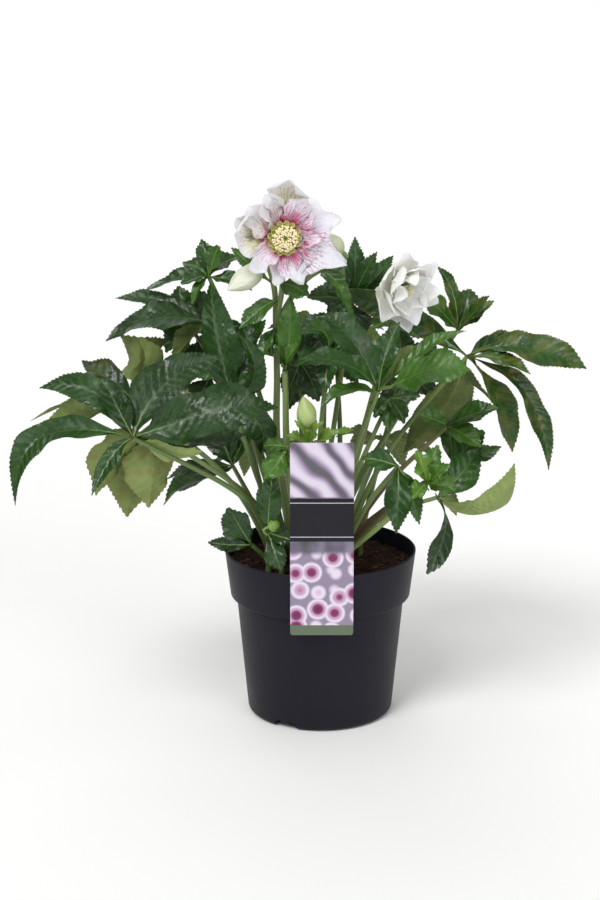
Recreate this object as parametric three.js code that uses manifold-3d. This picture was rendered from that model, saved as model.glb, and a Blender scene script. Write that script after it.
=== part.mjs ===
// Hellebore (lenten rose) growing in a nursery pot, with a plain plant tag hooked over the rim.
// Millimetres, +Z up. The origin is the middle of the pot's underside and the plant's front faces -Y.

import * as THREE from 'three';
import { mergeVertices } from 'three/addons/utils/BufferGeometryUtils.js';
import Module from 'manifold-3d';

const wasm = await Module();
wasm.setup();

// ---------------------------------------------------------------- driving dimensions
const GAP = 0.3; // clearance between neighbouring solids

const POT = {
  height: 150, rimRadius: 85, collarHeight: 41, collarRadius: 80.5, neckRadius: 74.5, shoulder: 4,
  baseRadius: 65, corner: 5, wall: 2, floor: 2.4, sides: 32,
  notches: 3, notchWidth: 23, notchHeight: 6, notchInner: 24, notchTaper: 6, firstNotch: -119, drainRadius: 4,
};
const SOIL = { level: 136, lump: 3, rings: 4, sides: 16, footDepth: 24 };
const TAG = {
  width: 54, bottom: 98, top: 268.5, thickness: 0.8, corner: 2.5, centreX: 0.5,
  hookWidth: 20, hookTop: 151, rimReach: 4.1, lean: 4, stakeEnd: 114,
};
const LEAF = {
  ribThickness: 1.5, tipThickness: 1.0, toothPitch: 28, fewestTeeth: 2, mostTeeth: 5, notch: 0.86,
  tooth: 1.04, baseWidth: 2.4, widest: 0.5, fullness: 0.75, taper: 0.3, taperPower: 0.6, fold: 16,
};
const PETAL = {
  thickness: 1, baseWidth: 4, widest: 0.58, fullness: 0.5, pointFrom: 0.8, point: 0.7, curl: 32, wave: 0.08,
};
const STEM = { petiole: 3, petioleTop: 1.8, flower: 4, branch: 2.5, holeSides: 4 };

// ---------------------------------------------------------------- solids
function solidOf(geometry) {
  const bare = geometry.clone();
  bare.deleteAttribute('normal');
  bare.deleteAttribute('uv');
  const merged = mergeVertices(bare, 1e-4);
  const mesh = new wasm.Mesh({
    numProp: 3,
    vertProperties: new Float32Array(merged.attributes.position.array),
    triVerts: new Uint32Array(merged.index.array),
  });
  return new wasm.Manifold(mesh);
}

function geometryOf(solid) {
  const mesh = solid.getMesh();
  const geometry = new THREE.BufferGeometry();
  geometry.setAttribute('position', new THREE.Float32BufferAttribute(mesh.vertProperties, 3));
  geometry.setIndex(new THREE.Uint32BufferAttribute(mesh.triVerts, 1));
  geometry.computeVertexNormals();
  return geometry;
}

// Joins solids into one body. The largest shell is kept, which fills any hollow sealed between them.
function joined(solids) {
  const shells = solids.reduce((sum, solid) => sum.add(solid)).decompose();
  return shells.reduce((largest, shell) => (shell.volume() > largest.volume() ? shell : largest));
}

function indexed(points, triangles) {
  const geometry = new THREE.BufferGeometry();
  geometry.setAttribute('position', new THREE.Float32BufferAttribute(points.flatMap((p) => p.toArray()), 3));
  geometry.setIndex(triangles.flat());
  return geometry;
}

const vec = (p) => new THREE.Vector3(...p);

// ---------------------------------------------------------------- blades
// A blade's rib runs from its hub through `via`, half way, to its tip.
function ribCurve(hub, blade, face) {
  const tip = vec(blade.tip);
  const middle = blade.via ? vec(blade.via)
    : hub.clone().lerp(tip, 0.5).addScaledVector(face, (blade.bow ?? 0.1) * hub.distanceTo(tip));
  const control = middle.multiplyScalar(2).addScaledVector(hub, -0.5).addScaledVector(tip, -0.5);
  return new THREE.QuadraticBezierCurve3(hub, control, tip);
}

// Directions across and up from the blade at u, rolled round its rib by `roll` degrees.
function bladeFrame(curve, u, face, roll) {
  const along = curve.getTangent(u);
  const up = face.clone().addScaledVector(along, -face.dot(along)).normalize();
  up.applyAxisAngle(along, THREE.MathUtils.degToRad(roll));
  const across = new THREE.Vector3().crossVectors(along, up);
  return { across, up };
}

// The share of its full half width that a blade has at u.
const outline = (u, widest, fullness) => (
  Math.sin(Math.PI * u ** (Math.log(0.5) / Math.log(widest))) ** fullness
);

// A leaflet: rib and toothed edges, thickest at the rib and thin at the edge.
function leafletSolid(hub, blade, leafFace) {
  const face = vec(blade.face ?? leafFace).normalize();
  const curve = ribCurve(hub, blade, face);
  const teeth = Math.ceil(curve.getLength() / LEAF.toothPitch);
  const n = THREE.MathUtils.clamp(teeth, LEAF.fewestTeeth, LEAF.mostTeeth);
  const fold = THREE.MathUtils.degToRad(LEAF.fold);
  const at = (u, side, reach) => {
    const { across, up } = bladeFrame(curve, u, face, blade.roll ?? 0);
    const slim = Math.min(1, u / LEAF.taper) ** LEAF.taperPower;
    const full = 0.5 * blade.width * outline(u, blade.widest ?? LEAF.widest, LEAF.fullness) * slim;
    const half = Math.max(full, LEAF.baseWidth / 2) * reach;
    return curve.getPoint(u)
      .addScaledVector(across, side * half * Math.cos(fold)).addScaledVector(up, half * Math.sin(fold));
  };
  const rib = (u, side) => {
    const { up } = bladeFrame(curve, u, face, blade.roll ?? 0);
    const thickness = THREE.MathUtils.lerp(LEAF.ribThickness, LEAF.tipThickness, u);
    return curve.getPoint(u).addScaledVector(up, side * thickness / 2);
  };
  const points = [];
  const add = (p) => points.push(p) - 1;
  const rows = Array.from({ length: n }, (_, i) => ({
    top: add(rib(i / n, 1)), bottom: add(rib(i / n, -1)),
    notch: [-1, 1].map((side) => add(at(i / n, side, i ? LEAF.notch : 1))),
    tooth: [-1, 1].map((side) => add(at((i + 0.7) / n, side, LEAF.tooth))),
  }));
  const tip = add(curve.getPoint(1));
  const triangles = [];
  rows.forEach((row, i) => {
    const next = rows[i + 1];
    for (const side of [0, 1]) {
      for (const [rail, flip] of [['top', side === 1], ['bottom', side === 0]]) {
        const end = next ? next[rail] : tip;
        const strip = [[row[rail], row.tooth[side], row.notch[side]], [row[rail], end, row.tooth[side]]];
        strip.push([end, next ? next.notch[side] : tip, row.tooth[side]]);
        for (const t of strip) {
          if (new Set(t).size === 3) triangles.push(flip ? [t[0], t[2], t[1]] : t);
        }
      }
    }
  });
  const first = rows[0];
  triangles.push([first.top, first.notch[0], first.bottom], [first.top, first.bottom, first.notch[1]]);
  return solidOf(indexed(points, triangles));
}

// A petal: five points across, its edges turned up by `curl` degrees and waved, closed to thin edges.
function petalSolid(hub, blade, face) {
  const curve = ribCurve(hub, blade, face);
  const n = blade.steps;
  const curl = THREE.MathUtils.degToRad(blade.curl ?? PETAL.curl);
  const at = (u, v, lift) => {
    const { across, up } = bladeFrame(curve, u, face, blade.roll ?? 0);
    const point = Math.min(1, (1 - u) / (1 - PETAL.pointFrom)) ** PETAL.point;
    const full = outline(Math.min(u, PETAL.pointFrom), blade.widest ?? PETAL.widest, PETAL.fullness) * point;
    const half = Math.max(0.5 * blade.width * full, PETAL.baseWidth / 2);
    const wave = PETAL.wave * blade.width * Math.sin(7 * u + 2.2 * v + (blade.phase ?? 0)) * v * v;
    const normal = up.clone().multiplyScalar(Math.cos(curl * v)).addScaledVector(across, -Math.sin(curl * v));
    return curve.getPoint(u).addScaledVector(across, half * Math.sin(curl * v) / curl)
      .addScaledVector(up, half * (1 - Math.cos(curl * v)) / curl).addScaledVector(normal, wave + lift);
  };
  const points = [];
  const add = (p) => points.push(p) - 1;
  const rows = Array.from({ length: n }, (_, i) => {
    const u = i / n;
    const [left, right] = [add(at(u, -1, 0)), add(at(u, 1, 0))];
    const [top, bottom] = [1, -1].map((side) => (
      [-0.5, 0, 0.5].map((v) => add(at(u, v, side * PETAL.thickness / 2)))
    ));
    return { top: [left, ...top, right], bottom: [left, ...bottom, right] };
  });
  const tip = add(curve.getPoint(1));
  const triangles = [];
  rows.forEach((row, i) => {
    const next = rows[i + 1];
    for (const rail of ['top', 'bottom']) {
      for (let k = 0; k < 4; k += 1) {
        const [a, b] = [row[rail][k], row[rail][k + 1]];
        const [d, c] = next ? [next[rail][k], next[rail][k + 1]] : [tip, tip];
        for (const t of [[a, b, c], [a, c, d]]) {
          if (new Set(t).size === 3) triangles.push(rail === 'top' ? t : [t[0], t[2], t[1]]);
        }
      }
    }
  });
  const { top, bottom } = rows[0];
  for (let k = 1; k < 3; k += 1) {
    triangles.push([top[k], bottom[k], bottom[k + 1]], [top[k], bottom[k + 1], top[k + 1]]);
  }
  triangles.push([top[0], bottom[1], top[1]], [top[3], bottom[3], top[4]]);
  return solidOf(indexed(points, triangles));
}

// ---------------------------------------------------------------- stalks
// A tapering round stalk through the given points, closed at both ends. Its foot goes straight down
// into the soil from the first point.
function stalkSolid(points, startRadius, endRadius, steps, sides, footDepth = 0) {
  const curve = new THREE.CatmullRomCurve3(points.map(vec), false, 'centripetal');
  const frames = curve.computeFrenetFrames(steps, false);
  const ring = (i, drop) => Array.from({ length: sides }, (_, k) => {
    const angle = (2 * Math.PI * k) / sides;
    const radius = THREE.MathUtils.lerp(startRadius, endRadius, i / steps);
    return curve.getPointAt(i / steps).addScaledVector(frames.tangents[i], -drop)
      .addScaledVector(frames.normals[i], radius * Math.cos(angle))
      .addScaledVector(frames.binormals[i], radius * Math.sin(angle));
  });
  const rings = Array.from({ length: steps + 1 }, (_, i) => ring(i, 0));
  if (footDepth > 0) rings.unshift(ring(0, footDepth));
  const triangles = [];
  for (let i = 0; i < rings.length - 1; i += 1) {
    for (let k = 0; k < sides; k += 1) {
      const [a, b] = [i * sides + k, i * sides + (k + 1) % sides];
      triangles.push([a, b, b + sides], [a, b + sides, a + sides]);
    }
  }
  const last = (rings.length - 1) * sides;
  for (let k = 1; k < sides - 1; k += 1) {
    triangles.push([0, k + 1, k], [last, last + k, last + k + 1]);
  }
  return solidOf(indexed(rings.flat(), triangles));
}

// A rooted stalk leaves the soil upright.
function rootedStalk([x, y], points, startRadius, endRadius, steps, sides) {
  const rise = [[x, y, SOIL.level + 3], [x, y, SOIL.level + 11]];
  return stalkSolid([...rise, ...points], startRadius, endRadius, steps, sides, SOIL.footDepth + 3);
}

const group = new THREE.Group();
group.name = 'hellebore';

function addMesh(name, solid, colour, roughness) {
  const material = new THREE.MeshStandardMaterial({ color: colour, roughness, metalness: 0 });
  const mesh = new THREE.Mesh(geometryOf(solid), material);
  mesh.name = name;
  group.add(mesh);
}

// ---------------------------------------------------------------- leaves
// foot: where the petiole leaves the soil; via: a point of the petiole's bend; hub: where its leaflets meet.
// face: the way the leaf's upper side looks. Each leaflet has its tip and width, and may set its own bend.
const LEAVES = [
  {
    name: 'leaf_front_left', foot: [-42, -20], via: [[-62, -48, 205]],
    hub: [-158, -85, 273], face: [-0.1, -0.75, 0.65],
    leaflets: [
      { tip: [-36, -78, 297], via: [-95, -92, 300], width: 44 },
      { tip: [-84, -40, 333], via: [-130, -60, 315], width: 40, widest: 0.45 },
      { tip: [-238, -62, 310], via: [-192, -76, 307], width: 27 },
      { tip: [-185, -66, 320], width: 24 },
      { tip: [-254, -118, 223], via: [-229, -102, 281], width: 28 },
      { tip: [-62, -52, 268], via: [-112, -62, 262], width: 30, face: [0, -0.2, 1] },
      { tip: [-191, -115, 231], via: [-178, -99, 257], width: 16 },
    ],
  },
  {
    name: 'leaf_under_left', foot: [-34, -10], via: [[-60, -22, 200]],
    hub: [-146, -42, 268], face: [-0.3, 0.8, 0.5],
    colour: '#5f7038',
    leaflets: [
      { tip: [-193, -56, 214], via: [-176, -48, 248], width: 42 },
      { tip: [-169, -30, 187], via: [-163, -28, 232], width: 48 },
      { tip: [-143, -58, 200], via: [-142, -48, 236], width: 34 },
    ],
  },
  {
    name: 'leaf_outer_left', foot: [-46, 0], via: [[-80, -12, 215]],
    hub: [-160, -20, 288], face: [-0.3, 0.6, 0.7],
    colour: '#4f6a33',
    leaflets: [
      { tip: [-235, -42, 275], width: 34, face: [-0.2, 0.9, 0.3] },
      { tip: [-254, -12, 268], via: [-207, -6, 290], width: 13 },
      { tip: [-209, 10, 318], width: 28, face: [-0.2, -0.7, 0.7] },
      { tip: [-175, 8, 341], via: [-156, -4, 313], width: 36, widest: 0.6 },
      { tip: [-134, 26, 334], width: 38 },
      { tip: [-108, 6, 284], width: 26 },
    ],
  },
  {
    name: 'leaf_upper_left', foot: [-32, 10], via: [[-60, 2, 250]],
    hub: [-96, 15, 350], face: [-0.2, -0.6, 0.75],
    leaflets: [
      { tip: [-187, 0, 337], via: [-140, 4, 355], width: 34 },
      { tip: [-181, 38, 368], via: [-140, 34, 366], width: 20 },
      { tip: [-130, -6, 318], width: 26, face: [-0.4, 0.6, 0.6] },
      { tip: [-160, 62, 352], width: 28 },
      { tip: [-60, 5, 336], width: 18 },
    ],
  },
  {
    name: 'leaf_upright_left', foot: [-22, -22], via: [[-52, -32, 215]],
    hub: [-76, -28, 288], face: [0.1, -0.95, 0.25],
    leaflets: [
      { tip: [-95, -12, 392], via: [-88, -22, 340], width: 36 },
      { tip: [-62, -2, 365], via: [-66, -18, 326], width: 20 },
      { tip: [-70, -42, 352], via: [-56, -40, 318], width: 22, face: [0.5, -0.8, 0.1] },
      { tip: [-52, -20, 241], via: [-55, -30, 268], width: 26 },
    ],
  },
  {
    name: 'leaf_left_centre', foot: [-20, 10], via: [[-46, 16, 230]],
    hub: [-74, 22, 302], face: [-0.1, -0.7, 0.7],
    leaflets: [
      { tip: [-126, 34, 304], width: 26 },
      { tip: [-48, 10, 354], width: 24 },
      { tip: [-98, 44, 338], width: 26 },
    ],
  },
  {
    name: 'leaf_high_left', foot: [-20, 22], via: [[-60, 34, 300]],
    hub: [-98, 32, 388], face: [-0.2, -0.55, 0.8],
    leaflets: [
      { tip: [-105, 46, 419], width: 16 },
      { tip: [-89, 30, 416], width: 20, widest: 0.62 },
      { tip: [-122, 48, 398], width: 16 },
      { tip: [-112, 6, 369], width: 10 },
      { tip: [-122, 20, 384], width: 18, widest: 0.6 },
      { tip: [-156, 36, 375], via: [-126, 34, 387], width: 15 },
      { tip: [-72, 52, 404], width: 22 },
      { tip: [-60, 20, 378], width: 18 },
    ],
  },
  {
    name: 'leaf_low_back_left', foot: [-44, 16], via: [[-58, 22, 180]],
    hub: [-78, 25, 218], face: [-0.2, -0.5, 0.8],
    leaflets: [
      { tip: [-142, 42, 176], width: 30 },
      { tip: [-136, 10, 210], width: 16 },
      { tip: [-56, 44, 256], width: 30 },
      { tip: [-92, 52, 246], width: 30 },
    ],
  },
  {
    name: 'leaf_new_left', foot: [-20, -50], via: [],
    hub: [-29, -70, 261], face: [0.1, -0.8, 0.5], colour: '#5f9a35',
    leaflets: [
      { tip: [-48, -78, 235], width: 22, widest: 0.6 },
      { tip: [-49, -68, 261], width: 15 },
      { tip: [-33, -64, 239], width: 13 },
    ],
  },
  {
    name: 'leaf_upper_middle', foot: [-4, 11], via: [[14, 22, 270]],
    hub: [27, 28, 366], face: [0.1, -0.75, 0.6],
    leaflets: [
      { tip: [30, 36, 423], width: 18 },
      { tip: [49, 22, 412], width: 16 },
      { tip: [-12, 12, 374], width: 28 },
      { tip: [4, 54, 402], width: 28 },
      { tip: [64, 48, 404], width: 20 },
      { tip: [30, 2, 338], width: 24 },
    ],
  },
  {
    name: 'leaf_centre', foot: [-8, -10], via: [[-2, -16, 240]], hub: [6, -24, 330], face: [0, -0.7, 0.7],
    leaflets: [
      { tip: [-18, -36, 352], via: [0, -32, 352], width: 22 },
      { tip: [-22, -48, 326], width: 20 },
      { tip: [44, -24, 346], width: 22 },
      { tip: [10, -6, 366], width: 24 },
      { tip: [4, -44, 302], width: 18 },
    ],
  },
  {
    name: 'leaf_middle_right', foot: [10, -26], via: [[26, -46, 240]],
    hub: [48, -65, 308], face: [0, -0.6, 0.8],
    leaflets: [
      { tip: [-2, -58, 371], via: [26, -64, 352], width: 34 },
      { tip: [-18, -98, 343], via: [18, -86, 339], width: 25 },
      { tip: [-1, -106, 302], via: [22, -92, 316], width: 18 },
      { tip: [66, -48, 364], width: 22 },
      { tip: [92, -34, 340], width: 26, face: [0, 0.7, 0.6] },
      { tip: [122, -100, 334], via: [84, -90, 329], width: 38, widest: 0.64 },
      { tip: [121, -66, 360], via: [84, -62, 344], width: 16 },
    ],
  },
  {
    name: 'leaf_outer_right', foot: [19, -14], via: [[58, -14, 240]],
    hub: [126, -15, 327], face: [0.1, -0.6, 0.8],
    leaflets: [
      { tip: [226, -40, 322], via: [172, -30, 342], width: 36, widest: 0.7 },
      { tip: [196, -44, 233], via: [178, -36, 292], width: 22, widest: 0.6 },
      { tip: [168, -8, 240], via: [154, -12, 292], width: 30, widest: 0.68 },
      { tip: [176, -62, 322], width: 20 },
      { tip: [178, 12, 334], width: 20 },
      { tip: [6, 13, 381], via: [70, 12, 362], width: 27, face: [0.1, -0.9, 0.4] },
      { tip: [73, 2, 236], via: [102, -4, 277], width: 40, face: [0.3, 0.7, 0.5] },
    ],
  },
  {
    name: 'leaf_high_right', foot: [8, 12], via: [[60, 24, 250]],
    hub: [121, 32, 340], face: [0.1, -0.6, 0.8],
    leaflets: [
      { tip: [102, 38, 397], via: [116, 36, 376], width: 13 },
      { tip: [152, 26, 368], width: 18 },
      { tip: [86, 18, 374], width: 22 },
      { tip: [132, 50, 374], width: 30 },
      { tip: [146, 6, 376], width: 14 },
    ],
  },
  {
    name: 'leaf_low_right', foot: [20, -27], via: [[56, -50, 195]],
    hub: [99, -62, 214], face: [0.1, 0.6, 0.7],
    colour: '#6f8f4a',
    leaflets: [
      { tip: [162, -86, 251], via: [138, -72, 206], width: 38 },
      { tip: [136, -34, 250], width: 30 },
      { tip: [90, -80, 151], via: [109, -70, 186], width: 23, widest: 0.78, face: [0.2, -0.9, 0.2] },
      { tip: [118, -36, 190], width: 22 },
    ],
  },
  {
    name: 'leaf_brown_stem', foot: [20, -2], via: [[54, -22, 210]],
    hub: [108, -36, 270], face: [0, -0.7, 0.7],
    leaflets: [
      { tip: [151, -52, 290], width: 24 },
      { tip: [136, -60, 258], width: 22 },
      { tip: [84, -50, 284], width: 22 },
    ],
  },
  {
    name: 'leaf_low_middle_right', foot: [16, -37], via: [[40, -68, 210]],
    hub: [64, -92, 250], face: [0, -0.9, 0.4],
    leaflets: [
      { tip: [62, -114, 198], width: 26 },
      { tip: [34, -88, 256], width: 20 },
      { tip: [82, -102, 202], width: 18 },
    ],
  },
  {
    name: 'leaf_bright_right', foot: [12, -48], via: [[56, -66, 195]],
    hub: [88, -96, 236], face: [0, -0.7, 0.7],
    colour: '#5f9a35',
    leaflets: [
      { tip: [106, -112, 256], width: 18 },
      { tip: [112, -96, 230], width: 20 },
      { tip: [79, -94, 264], width: 18 },
      { tip: [98, -84, 266], width: 16 },
      { tip: [76, -114, 228], width: 16 },
    ],
  },
  {
    name: 'leaf_rhombic_right', foot: [20, 10], via: [[64, 2, 190]],
    hub: [116, -8, 228], face: [0, -0.8, 0.6],
    leaflets: [
      { tip: [142, -22, 262], width: 38 },
      { tip: [160, 10, 240], width: 20 },
      { tip: [110, 24, 262], width: 20 },
    ],
  },
  {
    name: 'leaf_middle_back', foot: [-8, 26], via: [[-16, 40, 230]],
    hub: [-18, 48, 298], face: [0, -0.7, 0.7],
    leaflets: [
      { tip: [-46, 62, 318], width: 22 },
      { tip: [2, 52, 308], width: 22 },
      { tip: [-20, 76, 346], width: 26 },
      { tip: [-30, 22, 268], width: 18 },
    ],
  },
  {
    name: 'leaf_thin_right', foot: [3, -16], via: [[30, -16, 220]],
    hub: [60, -14, 289], face: [0, -0.6, 0.8],
    leaflets: [
      { tip: [46, -24, 275], width: 18 },
      { tip: [72, -22, 269], width: 18 },
      { tip: [87, -4, 289], width: 16 },
      { tip: [58, -30, 265], width: 16 },
    ],
  },
  {
    name: 'leaf_back_centre', foot: [11, 27], via: [[18, 48, 230]],
    hub: [14, 72, 320], face: [0, -0.75, 0.6],
    leaflets: [
      { tip: [-15, 84, 342], width: 28 },
      { tip: [19, 80, 363], width: 28 },
      { tip: [50, 66, 344], width: 28 },
      { tip: [34, 58, 286], width: 28 },
      { tip: [-4, 68, 280], width: 28 },
    ],
  },
  {
    name: 'leaf_back_left', foot: [-28, 44], via: [[-52, 60, 240]],
    hub: [-98, 72, 290], face: [-0.1, -0.75, 0.6],
    leaflets: [
      { tip: [-133, 68, 315], width: 28 },
      { tip: [-103, 80, 329], width: 28 },
      { tip: [-61, 72, 322], width: 28 },
      { tip: [-52, 70, 282], width: 24 },
      { tip: [-112, 60, 256], width: 28 },
    ],
  },
  {
    name: 'leaf_back_right', foot: [36, 22], via: [[58, 40, 240]],
    hub: [74, 58, 293], face: [0.1, -0.75, 0.6],
    leaflets: [
      { tip: [43, 56, 325], width: 28 },
      { tip: [70, 66, 337], width: 26 },
      { tip: [104, 62, 324], width: 28 },
      { tip: [106, 48, 275], width: 28 },
      { tip: [57, 46, 261], width: 26 },
    ],
  },
  {
    name: 'leaf_back_upper_left', foot: [-44, 30], via: [[-76, 52, 270]],
    hub: [-119, 62, 342], face: [-0.2, -0.7, 0.6],
    leaflets: [
      { tip: [-158, 76, 360], width: 24 },
      { tip: [-127, 70, 373], width: 24 },
      { tip: [-88, 66, 363], width: 26 },
      { tip: [-79, 54, 327], width: 24 },
      { tip: [-138, 52, 316], width: 26 },
    ],
  },
  {
    name: 'leaf_dark_centre', foot: [-12, 2], via: [[-14, 8, 230]],
    hub: [-18, 10, 317], face: [0, -0.8, 0.5],
    leaflets: [
      { tip: [-2, 2, 283], width: 28 },
      { tip: [-32, 6, 285], width: 22 },
      { tip: [1, 16, 335], width: 24 },
      { tip: [-27, 12, 347], width: 22 },
    ],
  },
  {
    name: 'leaf_low_left', foot: [-46, -34], via: [], hub: [-60, -44, 166], face: [-0.3, -0.9, 0.3],
    leaflets: [
      { tip: [-80, -52, 202], width: 32, widest: 0.6 },
      { tip: [-98, -44, 168], width: 14 },
    ],
  },
  {
    name: 'leaf_low_lobed', foot: [-34, -40], via: [], hub: [-46, -58, 182], face: [0, -0.9, 0.4],
    leaflets: [
      { tip: [-34, -74, 152], width: 20, widest: 0.62 },
      { tip: [-22, -70, 178], width: 15 },
      { tip: [-42, -54, 231], width: 25, widest: 0.55 },
    ],
  },
];

// The rear half: leaves on a plain fan of leaflets round each hub.
const REAR_LEAVES = [
  { name: 'leaf_rear_left', foot: [-32, 30], hub: [-92, 104, 292], reach: 84, width: 32 },
  { name: 'leaf_rear_middle', foot: [2, 34], hub: [6, 128, 322], reach: 80, width: 32 },
  { name: 'leaf_rear_right', foot: [22, 24], hub: [98, 98, 286], reach: 82, width: 32 },
  { name: 'leaf_rear_low_left', foot: [-14, 44], hub: [-52, 128, 206], reach: 66, width: 28 },
  { name: 'leaf_rear_low_right', foot: [16, 42], hub: [60, 132, 214], reach: 66, width: 28 },
];
// Leaflets `fan` degrees off the outward way, shorter and narrower towards the sides. They hang by `droop`
// of their length and by `sag`. The petiole bends in by `hollow` and up by `rise`.
const REAR = { fan: [-105, -55, 0, 55, 105], out: 0.82, droop: 0.52, sag: 6, bow: 0.14, hollow: 8, rise: 16 };

function rearLeaf({ name, foot, hub, reach, width }) {
  const outward = new THREE.Vector3(hub[0], hub[1], 0).normalize();
  const sideways = new THREE.Vector3(outward.y, -outward.x, 0);
  const face = outward.clone().multiplyScalar(0.55).setZ(0.8);
  const leaflets = REAR.fan.map((degrees) => {
    const angle = THREE.MathUtils.degToRad(degrees);
    const length = reach * (1 - Math.abs(degrees) / 350);
    const tip = vec(hub).addScaledVector(outward, length * Math.cos(angle) * REAR.out)
      .addScaledVector(sideways, length * Math.sin(angle));
    tip.z -= length * REAR.droop * Math.cos(angle) + REAR.sag;
    return { tip: tip.toArray(), width: width * (1 - Math.abs(degrees) / 500), bow: REAR.bow };
  });
  const via = [[
    (foot[0] + hub[0]) / 2 - outward.x * REAR.hollow, (foot[1] + hub[1]) / 2 - outward.y * REAR.hollow,
    (SOIL.level + hub[2]) / 2 + REAR.rise,
  ]];
  return { name, foot, via, hub, face: face.toArray(), leaflets };
}

function leafSolid({ foot, via, hub, face, leaflets }) {
  const petiole = rootedStalk(foot, [...via, hub], STEM.petiole, STEM.petioleTop, 4, 4);
  return joined([petiole, ...leaflets.map((blade) => leafletSolid(vec(hub), blade, face))]);
}

const ALL_LEAVES = [...LEAVES, ...REAR_LEAVES.map(rearLeaf)];
for (const leaf of ALL_LEAVES) addMesh(leaf.name, leafSolid(leaf), leaf.colour ?? '#2b5426', 0.45);

// ---------------------------------------------------------------- sizes and places of blooms and buds
// The bloom's own directions: out of its face, up in its face, and to its right.
function bloomAxes(axis) {
  const out = vec(axis).normalize();
  const up = new THREE.Vector3(0, 0, 1).addScaledVector(out, -out.z).normalize();
  return { out, up, right: new THREE.Vector3().crossVectors(up, out) };
}

const MAIN_BLOOM = {
  centre: [-32, -44, 435], axis: [0.2, -0.97, 0.06],
  petals: [
    { angle: 40, reach: 43, width: 30, lift: -9, bulge: -8, seat: -4 },
    { angle: 14, reach: 54, width: 36, lift: -8, bulge: -8, seat: -4 },
    { angle: 156, reach: 43, width: 30, lift: -3, bulge: -7, seat: -4 },
    { angle: 82, reach: 46, width: 46, lift: 15, bulge: -8, belly: 36, seat: -4, curl: 92 },
    { angle: -101, reach: 41, width: 20, lift: 1, bulge: -3, seat: -3, curl: 50 },
    { angle: -25, reach: 60, width: 40, lift: -2, bulge: -3, seat: -3, widest: 0.55 },
    { angle: 112, reach: 41, width: 34, lift: 13, bulge: -2, seat: -3, roll: 50, curl: 140 },
    { angle: -141, reach: 40, width: 27, lift: 4, bulge: 1, seat: -2, roll: -8, curl: 55 },
    { angle: 174, reach: 44, width: 46, lift: 15, bulge: -4, belly: 30, roll: 8, curl: 80 },
    { angle: -66, reach: 42, width: 44, lift: 4, bulge: 2, seat: -2, phase: 2, roll: 4 },
    { angle: 24, reach: 47, width: 40, lift: 7, bulge: 2, seat: -2, roll: 6, phase: 4 },
    { angle: -4, reach: 30, width: 20, lift: 10, bulge: 1, seat: -2, curl: 50 },
  ],
  receptacle: [[0, -10.5], [3, -10.5], [9, -3], [9, 1], [0, 1]], start: 8, steps: 3,
};
const WHITE_BLOOM = {
  centre: [69, -24, 388], axis: [0.5, -0.82, -0.15],
  petals: [
    { angle: 95, reach: 35, width: 32, lift: 10, bulge: -4, seat: -4, roll: 14 },
    { angle: 35, reach: 36, width: 32, lift: 8, bulge: -4, seat: -4, roll: 14 },
    { angle: -22, reach: 36, width: 31, lift: 9, bulge: -4, seat: -4, roll: 14 },
    { angle: -82, reach: 38, width: 31, lift: 9, bulge: -4, seat: -4, roll: 14 },
    { angle: -140, reach: 35, width: 31, lift: 11, bulge: -4, seat: -4, roll: 14 },
    { angle: 155, reach: 34, width: 32, lift: 13, bulge: -4, seat: -4, roll: 14 },
    { angle: 70, reach: 28, width: 27, lift: 17, bulge: 4, seat: -2, roll: 14 },
    { angle: -5, reach: 28, width: 27, lift: 17, bulge: 4, seat: -2, roll: 14 },
    { angle: -75, reach: 30, width: 27, lift: 16, bulge: 4, seat: -2, roll: 14 },
    { angle: -145, reach: 28, width: 27, lift: 18, bulge: 4, seat: -2, roll: 14 },
    { angle: 142, reach: 27, width: 27, lift: 20, bulge: 4, seat: -2, roll: 14 },
  ],
  receptacle: [[0, -10.5], [3, -10.5], [7, -3], [7, 1], [0, 1]], start: 6, steps: 3,
};

// A bud points from its base to its tip, with five folded sepals.
const BUDS = [
  { name: 'bud_upright', base: [-10.5, -61, 275], tip: [-15, -60, 305], radius: 8.5, colour: '#b9c98a' },
  { name: 'bud_left', base: [-51, -24, 406], tip: [-79, -46, 391], radius: 10, colour: '#d9dcae' },
  { name: 'bud_right', base: [17.5, -12.6, 417.5], tip: [2, -24, 435], radius: 8, colour: '#cdd79c' },
];

// Where a stalk ends behind a bloom or a bud, straight in line with it, a gap short of its base.
const STRAIGHT_END = 6;

function stalkEnd(base, direction) {
  return [GAP + STRAIGHT_END, GAP].map((back) => vec(base).addScaledVector(direction, -back).toArray());
}

function behindBloom({ centre, axis, receptacle }) {
  const { out } = bloomAxes(axis);
  return stalkEnd(vec(centre).addScaledVector(out, receptacle[0][1]).toArray(), out);
}

function behindBud(name) {
  const { base, tip } = BUDS.find((bud) => bud.name === name);
  return stalkEnd(base, vec(tip).sub(vec(base)).normalize());
}

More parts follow.
